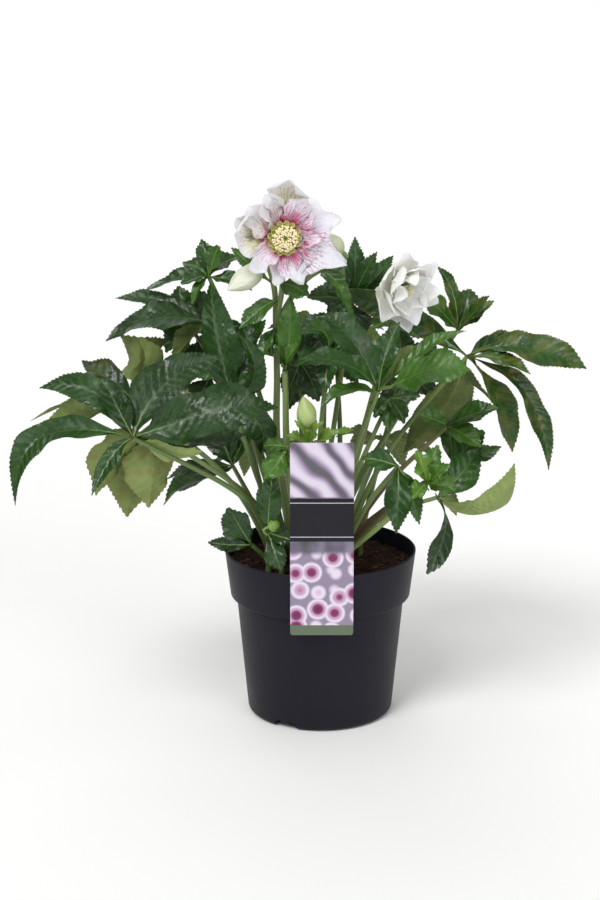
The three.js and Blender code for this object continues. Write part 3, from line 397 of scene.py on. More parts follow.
# Loose crumbs, coir fibres and bark chips on the soil.
CRUMBS = {"count": 900, "sizes": (0.8, 2.4), "uneven": (0.7, 1.3), "sink": 0.3}
CHIPS = {"count": 50, "sizes": (2.0, 4.5), "narrow": (0.3, 0.6), "thick": 0.7, "sink": -0.2}
FIBRES = {
    "count": 60, "turns": (-0.5, 0.5), "steps": (1.4, 3.2), "step_count": 5, "lift": (0.0, 1.4),
    "radii": (0.12, 0.22), "sides": 4, "sink": 0.4,
}
LUMP = {"sides": 6, "rings": [(-0.5, 0.85), (0.15, 1.0), (0.7, 0.6)], "uneven": (0.75, 1.15)}
draw = random.Random(5)
litter = new_sheet()


def somewhere(sink):
    """A place on the soil, sunk a little."""
    radius = (soil_edge - 3) * math.sqrt(draw.random())
    angle = draw.uniform(0, 2 * math.pi)
    x, y = radius * math.cos(angle), radius * math.sin(angle)
    return Vector((x, y, soil_height(x, y) - sink))


def add_lump(centre, sizes, kind, state=(0, 0, 0)):
    """A rough closed lump: uneven rings of points between a lowest and a highest one."""
    turn = draw.uniform(0, 2 * math.pi)
    rings = []
    for height, width in LUMP["rings"]:
        ring = []
        for k in range(LUMP["sides"]):
            angle = turn + 2 * math.pi / LUMP["sides"] * k
            reach = draw.uniform(*LUMP["uneven"]) * width
            offset = Vector((sizes[0] * math.cos(angle), sizes[1] * math.sin(angle), 0)) * reach
            ring.append(add_point(litter, centre + offset + Vector((0, 0, sizes[2] * height)), state=state))
        rings.append(ring)
    low, high = [
        [add_point(litter, centre + Vector((0, 0, rise)), state=state)] * LUMP["sides"]
        for rise in (-sizes[2], sizes[2])
    ]
    close_rings(litter, [low, *rings, high], kind)


for _ in range(CRUMBS["count"]):
    size = draw.uniform(*CRUMBS["sizes"])
    add_lump(somewhere(CRUMBS["sink"] * size), [size * draw.uniform(*CRUMBS["uneven"]) for _ in range(3)], 0)
for _ in range(CHIPS["count"]):
    size = draw.uniform(*CHIPS["sizes"])
    middle = somewhere(CHIPS["sink"])
    add_lump(middle, (size, size * draw.uniform(*CHIPS["narrow"]), CHIPS["thick"]), 2, (draw.random(), 0, 0))
for _ in range(FIBRES["count"]):
    path = [somewhere(FIBRES["sink"])]
    heading = draw.uniform(0, 2 * math.pi)
    turn = draw.uniform(*FIBRES["turns"])
    step = draw.uniform(*FIBRES["steps"])
    for _ in range(FIBRES["step_count"]):
        heading += turn
        point = path[-1] + Vector((math.cos(heading), math.sin(heading), 0)) * step
        if point.xy.length > soil_edge - 2:
            break
        point.z = soil_height(point.x, point.y) + draw.uniform(*FIBRES["lift"])
        path.append(point)
    if len(path) > 2:
        radii = [draw.uniform(*FIBRES["radii"])] * len(path)
        add_tube(litter, path, radii, FIBRES["sides"], 1, [(draw.random(), 0, 0)] * len(path))

# Coir and bark: dry and fibrous, straw to rust brown, lit more than the moist peat under them.
coir, add = new_material("coir_fibre")
bleached = point_values(add, "state")[1]
tint = add("Mix", {0: bleached, 6: "#3a2116", 7: "#86684a"}, **COLOURS)
finish_material(add, {"Base Color": tint, "Roughness": 0.8})
bark, add = new_material("bark_chip")
grain = add("TexNoise", {"Vector": add("TexCoord").outputs["Object"], "Scale": 1 / (1 * MM), "Detail": 4})
tint = add("Mix", {0: grain, 6: "#24130c", 7: "#6a452e"}, **COLOURS)
bump = add("Bump", {"Height": grain, "Strength": 0.6, "Distance": 0.3 * MM})
finish_material(add, {"Base Color": tint, "Roughness": 0.85, "Normal": bump})
settle_sheet("soil_litter", litter, [peat, coir, bark])


# ------------------------------------------------------------------ leaves
# Leathery evergreen palmate leaves, grown whole: a round petiole out of the soil, and toothed leaflets
# folded along their midribs that spread from its end. Old ones hang or turn their pale undersides out.
LEAF = {
    "petiole": 3, "petiole_top": 1.8, "foot_heights": (-6, 3, 11), "base_width": 2.4, "fullness": 0.75,
    "taper": 0.3, "taper_power": 0.6, "tip": 0.34, "tip_power": 0.32, "thickness": 0.5, "thins": 0.4,
    "fold": 16, "fold_varies": (-6, 16), "lean": 16, "sway": 0.045, "dip": 0.03, "tone_varies": 0.12,
    "bulge": 0.07, "bulges": 1.7, "ridge": 0.9, "ridge_tip": 0.5, "pucker": 0.7, "full_pucker": 8,
    "tooth_pitch": 3.3, "tooth_depth": 0.8, "tooth_lean": 0.4, "teeth_vary": (0.3, 1.3), "row_shift": 0.3,
    "teeth_start": 0.25, "teeth_grow": 0.2, "teeth_end": 0.08,
    "vein_pitch": 9, "vein_lean": 0.95, "vein_offset": 0.25,
}
# What a leaflet is like unless it is told otherwise. tone: 0 for the darkest old green, 1 for new growth;
# age: how yellow-brown and spotted; curly: how much its edges wave; folded: how far it is folded, against
# the others; widest: where along its rib it is widest; bow: how far its rib bends, against its length.
LEAFLET = {"tone": 0.3, "age": 0, "curly": 1, "folded": 1, "widest": 0.5, "bow": 0.1}
# Where the points of a row lie, as shares of the way from the rib to the edge.
COLUMNS = (0.2, 0.42, 0.62, 0.82, 1.0)
# The edge's waves: how many there are, their height against the width, and how fast they fade inwards.
RIPPLES = ((2.2, 0.09, 3), (5.3, 0.025, 4))


def smooth_path(corners, steps):
    """A smooth curve through all the corners, evenly paced by the root of the distances."""
    knots = [Vector(corner) for corner in corners]
    knots = [2 * knots[0] - knots[1], *knots, 2 * knots[-1] - knots[-2]]
    path = []
    for p0, p1, p2, p3 in zip(knots, knots[1:], knots[2:], knots[3:]):
        t1 = (p1 - p0).length ** 0.5
        t2 = t1 + (p2 - p1).length ** 0.5
        t3 = t2 + (p3 - p2).length ** 0.5
        count = max(2, round((p2 - p1).length / steps))
        for i in range(count):
            t = t1 + (t2 - t1) * i / count
            a1 = p0.lerp(p1, t / t1)
            a2 = p1.lerp(p2, (t - t1) / (t2 - t1))
            a3 = p2.lerp(p3, (t - t2) / (t3 - t2))
            b1 = a1.lerp(a2, t / t2)
            b2 = a2.lerp(a3, (t - t1) / (t3 - t1))
            path.append(b1.lerp(b2, (t - t1) / (t2 - t1)))
    return [*path, knots[-2]]


def add_stalk(sheet, corners, start_radius, end_radius, kind, tone, purple):
    """A tapering stalk; `purple` is how far the red-brown of its foot climbs, 0 to 1."""
    path = smooth_path(corners, 6)
    shares = [i / (len(path) - 1) for i in range(len(path))]
    radii = [start_radius + (end_radius - start_radius) * share for share in shares]
    states = [(tone, max(0, purple - 0.9 * share), draw.random()) for share in shares]
    add_tube(sheet, path, radii, 10, kind, states)


def rooted(foot, corners):
    """A stalk's corners, from a little under the soil and straight up out of it."""
    x, y = foot
    return [*((x, y, SOIL["level"] + height) for height in LEAF["foot_heights"]), *corners]


def rib_through(base, middle, tip):
    """A rib's curve, from its base through its middle to its tip."""
    return base, 2 * middle - (base + tip) / 2, tip


def rib_at(rib, u):
    """A point of the rib, and the direction along it."""
    base, control, tip = rib
    point = base.lerp(control, u).lerp(control.lerp(tip, u), u)
    along = (control - base).lerp(tip - control, u).normalized()
    return point, along


def blade_frame(along, face, turn):
    """The directions up from a blade and across it, turned round its rib by the given degrees."""
    up = (face - along * face.dot(along)).normalized()
    up.rotate(Quaternion(along, math.radians(turn)))
    return up, along.cross(up)


def outline(u, widest, fullness):
    """The share of its full half width that a blade has at u."""
    return math.sin(math.pi * u ** (math.log(0.5) / math.log(widest))) ** fullness if 0 < u < 1 else 0


def phases(count):
    """Random phases of waves, over a little more than a full turn."""
    return [draw.uniform(0, 6.3) for _ in range(count)]


def add_pair(sheet, middle, rise, values, state, at_edge):
    """A point of the upper skin and one of the lower skin, which are one point at the edge."""
    if at_edge:
        return [add_point(sheet, middle, values, state)] * 2
    return [add_point(sheet, middle + offset, values, state) for offset in (rise, -rise)]


def add_skins(sheet, rows):
    """A blade's upper and lower skin from its rows of pairs of points, cut into the same triangles, and its
    base. The last row is one point, the tip."""
    for kind in (0, 1):
        for row, after in zip(rows, rows[1:]):
            for k in range(len(row) - 1):
                near = [row[k][kind], row[k + 1][kind], after[k][kind]]
                far = [row[k + 1][kind], after[k + 1][kind], after[k][kind]]
                for corners in (near, far):
                    add_face(sheet, corners[::-1] if kind else corners, kind)
    above, below = zip(*rows[0])
    add_face(sheet, above[::-1] + below[1:-1], 0)


def add_leaflet(sheet, hub, leaflet):
    """A leaflet: toothed, folded along its rib, puckered between its side veins and waved at its edges."""
    hub, tip = Vector(hub), Vector(leaflet["tip"])
    face = Vector(leaflet["face"]).normalized()
    bowed = hub.lerp(tip, 0.5) + face * leaflet["bow"] * (tip - hub).length
    rib = rib_through(hub, Vector(leaflet["via"] or bowed), tip)
    length = sum((rib_at(rib, (i + 1) / 8)[0] - rib_at(rib, i / 8)[0]).length for i in range(8))
    rows = 2 * max(6, round(length / LEAF["tooth_pitch"]))
    folds = [LEAF["fold"] + draw.uniform(*LEAF["fold_varies"]) for _ in range(2)]
    waves = [phases(2) for _ in RIPPLES]
    bulges = phases(2)
    teeth = [draw.uniform(*LEAF["teeth_vary"]) for _ in range(2 * rows + 2)]
    lean, sway, dip = [draw.uniform(-1, 1) * LEAF[kind] for kind in ("lean", "sway", "dip")]
    lean = leaflet.get("lean", lean)
    tone = leaflet["tone"] + draw.uniform(-LEAF["tone_varies"], LEAF["tone_varies"])
    state = (min(1, max(0, tone)), leaflet["age"], draw.random())
    blade_rows = []
    for i in range(rows + 1):
        u = (i + draw.uniform(-LEAF["row_shift"], LEAF["row_shift"]) * (0 < i < rows)) / rows
        point, along = rib_at(rib, u)
        up, across = blade_frame(along, face, lean * u)
        point = point + across * (sway * length * math.sin(math.pi * u))
        point += up * (dip * length * math.sin(2 * math.pi * u))
        full = 0.5 * leaflet["width"] * outline(u, leaflet["widest"], LEAF["fullness"])
        full *= min(1, u / LEAF["taper"]) ** LEAF["taper_power"]
        full *= min(1, (1 - u) / LEAF["tip"]) ** LEAF["tip_power"]
        toothed = LEAF["tooth_depth"] * min(1, max(0, (u - LEAF["teeth_start"]) / LEAF["teeth_grow"]))
        toothed *= min(1, (1 - u) / LEAF["teeth_end"])
        thick = LEAF["thickness"] * (1 - LEAF["thins"] * u) / 2
        row = []
        for outer, side in enumerate((-1, 1)):
            half = full * (1 + LEAF["bulge"] * math.sin(2 * math.pi * LEAF["bulges"] * u + bulges[outer]))
            half = max(half, LEAF["base_width"] / 2 * (1 - u))
            fold = math.radians(folds[outer]) * leaflet["folded"]
            for share in COLUMNS:
                reach = half * share
                forward = 0
                if share == 1:
                    reach += toothed * teeth[2 * i + outer] * (0.5 if i % 2 else -0.5)
                    forward = LEAF["tooth_lean"] * LEAF["tooth_pitch"] * (toothed > 0 and i % 2)
                ripple = min(1, 3 * (1 - u)) * leaflet["curly"] * leaflet["width"] * sum(
                    height * share ** power * math.sin(2 * math.pi * count * u + wave[outer])
                    for (count, height, power), wave in zip(RIPPLES, waves)
                )
                vein = (u * length - LEAF["vein_lean"] * reach) / LEAF["vein_pitch"]
                vein += LEAF["vein_offset"] * side
                pucker = LEAF["pucker"] * math.sin(math.pi * share) * math.cos(2 * math.pi * vein)
                pucker *= min(1, half / LEAF["full_pucker"])
                lift = reach * math.sin(fold) * share ** 0.25 + ripple + pucker
                middle = point + across * (side * reach * math.cos(fold)) + up * lift + along * forward
                values = (u * length, side * reach, share)
                row.append(add_pair(sheet, middle, up * thick, values, state, share == 1))
        ridge = (LEAF["ridge_tip"] + LEAF["ridge"] * (1 - u)) * min(1, full / 3)
        midrib = [
            add_point(sheet, point + up * rise, (u * length, 0, 0), state)
            for rise in (thick - 0.15, -thick - ridge)
        ]
        blade_rows.append([*row[:len(COLUMNS)][::-1], midrib, *row[len(COLUMNS):]])
    end = add_point(sheet, tip, (length, 0, 0), state)
    blade_rows[-1] = [(end, end)] * len(blade_rows[-1])
    add_skins(sheet, blade_rows)


SMOOTH = {"interpolation_type": "SMOOTHSTEP"}


def leaf_material(name, tones, vein_colour, spot_colour, roughness, shine, relief):
    """Leaf tissue by its place on the blade: midrib, side veins that lean forward, the net between them."""
    material, add = new_material(name)
    blade_mm, along, across, share = point_values(add, "blade_mm")
    _, tone, age, _ = point_values(add, "state")
    place = add("TexCoord").outputs["Object"]

    # The veins' lines, in mm on the blade.
    away = add("Math", [across], operation="ABSOLUTE")
    wobble = add("TexNoise", {"Vector": blade_mm, "Scale": 0.16, "Detail": 2})
    back = add("Math", [away, -LEAF["vein_lean"], along], operation="MULTIPLY_ADD")
    bent = add("Math", [wobble, 3, back], operation="MULTIPLY_ADD")
    side = add("Math", [across], operation="SIGN")
    paced = add("Math", [bent, LEAF["vein_pitch"]], operation="DIVIDE")
    shifted = add("Math", [side, LEAF["vein_offset"], paced], operation="MULTIPLY_ADD")
    near = add("Math", [shifted, 0.5], operation="PINGPONG")
    side_veins = add("MapRange", [near, 0, 0.05, 1, 0], **SMOOTH)
    fading = add("MapRange", [share, 0.5, 0.95, 1, 0], **SMOOTH)
    side_veins = add("Math", [side_veins, fading], operation="MULTIPLY")
    slimmer = add("Math", [along, 0.006, away], operation="MULTIPLY_ADD")
    midrib = add("MapRange", [slimmer, 0.25, 0.85, 1, 0], **SMOOTH)
    cells = add("TexVoronoi", {"Vector": blade_mm, "Scale": 0.2}, feature="DISTANCE_TO_EDGE")
    net = add("MapRange", [cells, 0, 0.08, 1, 0], **SMOOTH)

    # How deep they are sunk, and how much paler they are.
    pillows = add("TexVoronoi", {"Vector": blade_mm, "Scale": 0.2, "Smoothness": 0.8}, feature="SMOOTH_F1")
    sunk = add("Math", [pillows, 1.6], operation="MULTIPLY")
    sunk = add("Math", [net, 0.2, sunk], operation="MULTIPLY_ADD")
    sunk = add("Math", [sunk, side_veins], operation="MAXIMUM")
    sunk = add("Math", [sunk, midrib], operation="MAXIMUM")
    paler = add("Math", [side_veins, 0.2], operation="MULTIPLY")
    paler = add("Math", [net, 0.05, paler], operation="MULTIPLY_ADD")
    near_hub = add("MapRange", [along, 3, 45, 0.6, 0.2], **SMOOTH)
    paler = add("Math", [midrib, near_hub, paler], operation="MULTIPLY_ADD")

    # The tissue's colour in clouds 16 mm wide, yellow-brown in spots and at the rim where it is old.
    cloud = add("TexNoise", {"Vector": place, "Scale": 1 / (16 * MM), "Detail": 4})
    clouded = add("Math", [cloud, 0.5, -0.25], operation="MULTIPLY_ADD")
    tissue = add("ValToRGB", [add("Math", [tone, clouded], operation="ADD")], tones)
    colour = add("Mix", {0: paler, 6: tissue, 7: vein_colour}, **COLOURS)
    spots = add("TexNoise", {"Vector": place, "Scale": 1 / (12 * MM), "Detail": 6})
    spotted = add("MapRange", [spots, 0.42, 0.72, 0, 1], **SMOOTH)
    aged = add("Math", [spotted, age], operation="MULTIPLY")
    worn_rim = add("MapRange", [share, 0.86, 1, 0, 0.8], **SMOOTH)
    aged = add("Math", [worn_rim, age, aged], operation="MULTIPLY_ADD")
    colour = add("Mix", {0: aged, 6: colour, 7: spot_colour}, **COLOURS)

    quilt = add("TexNoise", {"Vector": place, "Scale": 1 / (6 * MM), "Detail": 1})
    height = add("Math", [sunk, relief, quilt], operation="MULTIPLY_ADD")
    bump = add("Bump", {"Height": height, "Strength": 0.45, "Distance": 1.1 * MM})
    gloss = add("MapRange", [cloud, 0.4, 0.6, roughness - 0.05, roughness + 0.1], **SMOOTH)
    finish_material(add, {
        "Base Color": colour, "Roughness": gloss, "IOR": 1.4, "Specular IOR Level": shine, "Normal": bump,
    })
    return material


# Upper skin: a leathery, waxy dark green with a soft gloss, sunk along its veins. Underside: matt, paler
# and more olive, with the veins standing out; old leaves go yellow-brown in spots.
upper_skin = leaf_material(
    "waxy_leaf_upper", [(0.0, "#0d2a05"), (0.3, "#1e440a"), (0.6, "#426a1c"), (1.0, "#7b9a36")],
    vein_colour="#7f9c50", spot_colour="#6f6a2c", roughness=0.34, shine=0.62, relief=-0.3,
)
under_skin = leaf_material(
    "matt_leaf_underside", [(0.0, "#44522c"), (0.4, "#66763f"), (0.7, "#87985c"), (1.0, "#9aad68")],
    vein_colour="#a0ab78", spot_colour="#7d7a45", roughness=0.6, shine=0.3, relief=0.22,
)

# Stalk: a firm green stem with fine ribs along it, red-brown towards the foot.
stalk_skin, add = new_material("ribbed_green_stalk")
blade_mm = point_values(add, "blade_mm")[0]
_, tone, purple, _ = point_values(add, "state")
drawn_out = add("VectorMath", [blade_mm, (0.05, 1, 1)], operation="MULTIPLY")
streaks = add("TexNoise", {"Vector": drawn_out, "Scale": 1.3, "Detail": 3})
green = add("ValToRGB", [tone], [(0.0, "#35481f"), (0.4, "#546a33"), (1.0, "#93a566")])
streaked = add("MapRange", [streaks, 0.35, 0.7, 0, 0.5], **SMOOTH)
stained = add("Math", [streaked, purple, purple], operation="MULTIPLY_ADD")
colour = add("Mix", {0: stained, 6: green, 7: "#5d4236"}, **COLOURS)
bump = add("Bump", {"Height": streaks, "Strength": 0.5, "Distance": 0.3 * MM})
finish_material(add, {"Base Color": colour, "Roughness": 0.42, "Normal": bump})
leaf_skins = [upper_skin, under_skin, stalk_skin]


def blade(tip, width, via=None, **own):
    """A leaflet, by its tip, its width and, for some, a point half way along its rib. Its own may also be
    `lean`, the degrees by which it turns round its rib, and `face`, the way its upper side looks."""
    return {"tip": tip, "width": width, "via": via, **own}


def grow_leaf(name, foot, corners, face, leaflets, slot="leaf_dark", purple=0.3, **looks):
    """A leaf: its petiole from its foot on the soil through the corners, the last of which is the hub, and
    the leaflets on the hub. `face` is the way that the upper side looks."""
    looks = {**LEAFLET, "face": face, **looks}
    sheet = new_sheet()
    stalk_tone = 0.35 + 0.5 * looks["tone"]
    add_stalk(sheet, rooted(foot, corners), LEAF["petiole"], LEAF["petiole_top"], 2, stalk_tone, purple)
    for leaflet in leaflets:
        add_leaflet(sheet, corners[-1], {**looks, **leaflet})
    settle_sheet(name + "_blades", sheet, leaf_skins, name)


draw = random.Random(11)
grow_leaf("leaf_front_left", (-42, -20), [(-62, -48, 205), (-158, -85, 273)], (-0.1, -0.75, 0.65), [
    blade((-36, -78, 297), 46, (-95, -92, 293), lean=-6, face=(-0.1, -0.85, 0.5), curly=1.3, widest=0.46,
          folded=0.4),
    blade((-84, -40, 333), 42, (-130, -60, 315), widest=0.38, folded=0.6),
    blade((-238, -62, 310), 27, (-192, -76, 307), folded=0.6),
    blade((-185, -66, 320), 24),
    blade((-254, -118, 223), 28, (-229, -102, 281)),
    blade((-62, -52, 268), 30, (-112, -62, 262), face=(0, -0.2, 1)),
    blade((-101, -66, 256), 28, (-130, -72, 258), face=(0.2, 0.8, 0.4), tone=0.7),
    blade((-191, -115, 231), 16, (-178, -99, 257)),
], tone=0.16)
grow_leaf("leaf_under_left", (-34, -10), [(-60, -22, 200), (-146, -42, 268)], (-0.3, 0.8, 0.5), [
    blade((-193, -56, 214), 46, (-176, -48, 248)),
    blade((-169, -30, 187), 60, (-163, -28, 232), lean=0),
    blade((-148, -56, 203), 52, (-145, -48, 236), lean=0),
], tone=0.55, age=0.9, slot="leaf_pale")
grow_leaf("leaf_outer_left", (-46, 0), [(-80, -12, 215), (-160, -20, 288)], (-0.3, 0.6, 0.7), [
    blade((-235, -42, 275), 34, face=(-0.2, 0.9, 0.3)),
    blade((-254, -12, 268), 13, (-207, -6, 290)),
    blade((-209, 10, 318), 28, face=(-0.2, -0.7, 0.7), tone=0.15),
    blade((-175, 8, 341), 44, (-156, -4, 313), widest=0.6),
    blade((-134, 26, 334), 44),
    blade((-108, 6, 284), 26),
], tone=0.5, age=0.25, slot="leaf_pale")
grow_leaf("leaf_upper_left", (-32, 10), [(-60, 2, 250), (-96, 15, 350)], (-0.2, -0.6, 0.75), [
    blade((-187, 0, 337), 34, (-140, 4, 355)),
    blade((-181, 38, 368), 20, (-140, 34, 366)),
    blade((-130, -6, 318), 26, face=(-0.4, 0.6, 0.6)),
    blade((-160, 62, 352), 28),
    blade((-60, 5, 336), 18),
], tone=0.15)
grow_leaf("leaf_upright_left", (-22, -22), [(-52, -32, 215), (-76, -28, 288)], (0.1, -0.95, 0.25), [
    blade((-95, -12, 392), 36, (-88, -22, 340)),
    blade((-62, -2, 365), 20, (-66, -18, 326)),
    blade((-70, -42, 352), 22, (-56, -40, 318), face=(0.5, -0.8, 0.1)),
    blade((-52, -20, 241), 26, (-55, -30, 268)),
], tone=0.2)
grow_leaf("leaf_left_centre", (-20, 10), [(-46, 16, 230), (-74, 22, 302)], (-0.1, -0.7, 0.7), [
    blade((-126, 34, 304), 26),
    blade((-48, 10, 354), 24),
    blade((-98, 44, 338), 26),
], tone=0.3)
grow_leaf("leaf_high_left", (-20, 22), [(-60, 34, 300), (-98, 32, 388)], (-0.2, -0.55, 0.8), [
    blade((-105, 46, 419), 16),
    blade((-89, 30, 416), 20, widest=0.62),
    blade((-122, 48, 398), 16),
    blade((-112, 6, 369), 10),
    blade((-122, 20, 384), 18, widest=0.6),
    blade((-156, 36, 375), 15, (-126, 34, 387)),
    blade((-72, 52, 404), 22),
    blade((-60, 20, 378), 18),
], tone=0.35)
grow_leaf("leaf_low_back_left", (-44, 16), [(-58, 22, 180), (-78, 25, 218)], (-0.2, -0.5, 0.8), [
    blade((-142, 42, 176), 30),
    blade((-136, 10, 210), 16),
    blade((-56, 44, 256), 30),
    blade((-92, 52, 246), 30),
], tone=0.15)
grow_leaf("leaf_new_left", (-20, -50), [(-29, -70, 261)], (0.1, -0.8, 0.5), [
    blade((-48, -78, 235), 22, widest=0.6),
    blade((-49, -68, 261), 15),
    blade((-33, -64, 239), 13),
], tone=0.66, curly=2.6, slot="leaf_new")
grow_leaf("leaf_upper_middle", (-4, 11), [(14, 22, 270), (27, 28, 366)], (0.1, -0.75, 0.6), [
    blade((30, 36, 423), 18),
    blade((49, 22, 412), 16),
    blade((-12, 12, 374), 28),
    blade((4, 54, 402), 28),
    blade((64, 48, 404), 20),
    blade((30, 2, 338), 24),
], tone=0.25)
grow_leaf("leaf_centre", (-8, -10), [(-2, -16, 240), (6, -24, 330)], (0, -0.7, 0.7), [
    blade((-18, -36, 352), 22, (0, -32, 352)),
    blade((-22, -48, 326), 20),
    blade((44, -24, 346), 22),
    blade((10, -6, 366), 24),
    blade((4, -44, 302), 18),
], tone=0.25)
grow_leaf("leaf_middle_right", (10, -26), [(26, -46, 240), (48, -65, 308)], (0, -0.6, 0.8), [
    blade((-2, -58, 371), 34, (26, -64, 352), tone=0.2),
    blade((-18, -98, 343), 25, (18, -86, 339), tone=0.25),
    blade((-1, -106, 302), 18, (22, -92, 316), tone=0.4),
    blade((66, -48, 364), 22, tone=0.25),
    blade((92, -34, 340), 26, face=(0, 0.7, 0.6)),
    blade((122, -100, 334), 38, (84, -90, 329), widest=0.64, tone=0.5, folded=0.6),
    blade((121, -66, 360), 16, (84, -62, 344)),
], tone=0.45)
grow_leaf("leaf_outer_right", (19, -14), [(58, -14, 240), (126, -15, 327)], (0.1, -0.6, 0.8), [
    blade((226, -40, 322), 36, (172, -30, 342), widest=0.7, tone=0.36),
    blade((196, -44, 233), 22, (178, -36, 292), widest=0.6),
    blade((168, -8, 240), 30, (154, -12, 292), widest=0.68),
    blade((176, -62, 322), 20),
    blade((178, 12, 334), 20),
    blade((6, 13, 381), 27, (70, 12, 362), face=(0.1, -0.9, 0.4)),
    blade((73, 2, 236), 40, (102, -4, 277), face=(0.3, 0.7, 0.5)),
], tone=0.28, age=0.5)
grow_leaf("leaf_high_right", (8, 12), [(60, 24, 250), (121, 32, 340)], (0.1, -0.6, 0.8), [
    blade((102, 38, 397), 13, (116, 36, 376)),
    blade((152, 26, 368), 18),
    blade((86, 18, 374), 22),
    blade((132, 50, 374), 30),
    blade((146, 6, 376), 14),
], tone=0.3, age=0.3)
grow_leaf("leaf_low_right", (20, -27), [(56, -50, 195), (99, -62, 214)], (0.1, 0.6, 0.7), [
    blade((162, -86, 251), 38, (138, -72, 206), lean=6, curly=0.2),
    blade((136, -34, 250), 30, face=(0.1, -0.8, 0.3), tone=0.2),
    blade((90, -80, 151), 23, (109, -70, 186), widest=0.78, face=(0.2, -0.9, 0.2), tone=0.12),
    blade((118, -36, 190), 22),
], tone=0.5, purple=0.9, slot="leaf_pale")
grow_leaf("leaf_brown_stem", (20, -2), [(54, -22, 210), (108, -36, 270)], (0, -0.7, 0.7), [
    blade((151, -52, 290), 24),
    blade((136, -60, 258), 22),
    blade((84, -50, 284), 22),
], tone=0.4, purple=1.2)
grow_leaf("leaf_low_middle_right", (16, -37), [(40, -68, 210), (64, -92, 250)], (0, -0.9, 0.4), [
    blade((62, -114, 198), 26),
    blade((34, -88, 256), 20),
    blade((82, -102, 202), 18),
], tone=0.3)
grow_leaf("leaf_bright_right", (12, -48), [(56, -66, 195), (88, -96, 236)], (0, -0.7, 0.7), [
    blade((106, -112, 256), 18),
    blade((112, -96, 230), 20),
    blade((79, -94, 264), 18),
    blade((98, -84, 266), 16),
    blade((76, -114, 228), 16),
], tone=0.62, curly=2.6, slot="leaf_new")
grow_leaf("leaf_rhombic_right", (20, 10), [(64, 2, 190), (116, -8, 228)], (0, -0.8, 0.6), [
    blade((142, -22, 262), 38),
    blade((160, 10, 240), 20),
    blade((110, 24, 262), 20),
], tone=0.3, purple=1.1)
grow_leaf("leaf_middle_back", (-8, 26), [(-16, 40, 230), (-18, 48, 298)], (0, -0.7, 0.7), [
    blade((-46, 62, 318), 22),
    blade((2, 52, 308), 22),
    blade((-20, 76, 346), 26),
    blade((-30, 22, 268), 18),
], tone=0.2)
grow_leaf("leaf_thin_right", (3, -16), [(30, -16, 220), (60, -14, 289)], (0, -0.6, 0.8), [
    blade((46, -24, 275), 18),
    blade((72, -22, 269), 18),
    blade((87, -4, 289), 16),
    blade((58, -30, 265), 16),
], tone=0.4)
grow_leaf("leaf_back_centre", (11, 27), [(18, 48, 230), (14, 72, 320)], (0, -0.75, 0.6), [
    blade((-15, 84, 342), 28),
    blade((19, 80, 363), 28),
    blade((50, 66, 344), 28),
    blade((34, 58, 286), 28),
    blade((-4, 68, 280), 28),
], tone=0.12)
grow_leaf("leaf_back_left", (-28, 44), [(-52, 60, 240), (-98, 72, 290)], (-0.1, -0.75, 0.6), [
    blade((-133, 68, 315), 28),
    blade((-103, 80, 329), 28),
    blade((-61, 72, 322), 28),
    blade((-52, 70, 282), 24),
    blade((-112, 60, 256), 28),
], tone=0.1)
grow_leaf("leaf_back_right", (36, 22), [(58, 40, 240), (74, 58, 293)], (0.1, -0.75, 0.6), [
    blade((43, 56, 325), 28),
    blade((70, 66, 337), 26),
    blade((104, 62, 324), 28),
    blade((106, 48, 275), 28),
    blade((57, 46, 261), 26),
], tone=0.15)
grow_leaf("leaf_back_upper_left", (-44, 30), [(-76, 52, 270), (-119, 62, 342)], (-0.2, -0.7, 0.6), [
    blade((-158, 76, 360), 24),
    blade((-127, 70, 373), 24),
    blade((-88, 66, 363), 26),
    blade((-79, 54, 327), 24),
    blade((-138, 52, 316), 26),
], tone=0.22)
grow_leaf("leaf_dark_centre", (-12, 2), [(-14, 8, 230), (-18, 10, 317)], (0, -0.8, 0.5), [
    blade((-2, 2, 283), 28),
    blade((-32, 6, 285), 22),
    blade((1, 16, 335), 24),
    blade((-27, 12, 347), 22),
], tone=0.1)
grow_leaf("leaf_low_left", (-46, -34), [(-60, -44, 166)], (-0.3, -0.9, 0.3), [
    blade((-80, -52, 202), 32, widest=0.6),
    blade((-98, -44, 168), 14),
], tone=0.08)
grow_leaf("leaf_low_lobed", (-34, -40), [(-46, -58, 182)], (0, -0.9, 0.4), [
    blade((-34, -74, 152), 20, widest=0.62),
    blade((-22, -70, 178), 15),
    blade((-42, -54, 231), 25, widest=0.55),
], tone=0.22)

# The rear half: leaves on a plain fan of leaflets round each hub, the side ones shorter and narrower.
FAN = {
    "degrees": (-105, -55, 0, 55, 105), "shorter": 350, "narrower": 500, "outward": 0.82, "hang": 0.52,
    "droop": 6, "bow": 0.14, "bend_in": 8, "bend_up": 16,
}


def grow_rear_leaf(name, foot, hub, reach, width):
    """A leaf that leans outwards from the pot's middle, with its fan of leaflets."""
    hub = Vector(hub)
    outward = Vector((hub.x, hub.y, 0)).normalized()
    sideways = Vector((outward.y, -outward.x, 0))
    leaflets = []
    for degrees in FAN["degrees"]:
        angle = math.radians(degrees)
        length = reach * (1 - abs(degrees) / FAN["shorter"])
        forward, aside = length * math.cos(angle), length * math.sin(angle)
        tip = hub + outward * (forward * FAN["outward"]) + sideways * aside
        tip.z -= forward * FAN["hang"] + FAN["droop"]
        leaflets.append(blade(tip, width * (1 - abs(degrees) / FAN["narrower"]), bow=FAN["bow"]))
    bend = ((Vector(foot) + hub.xy) / 2 - outward.xy * FAN["bend_in"]).to_3d()
    bend.z = (SOIL["level"] + hub.z) / 2 + FAN["bend_up"]
    grow_leaf(name, foot, [bend, hub], outward * 0.55 + Vector((0, 0, 0.8)), leaflets)


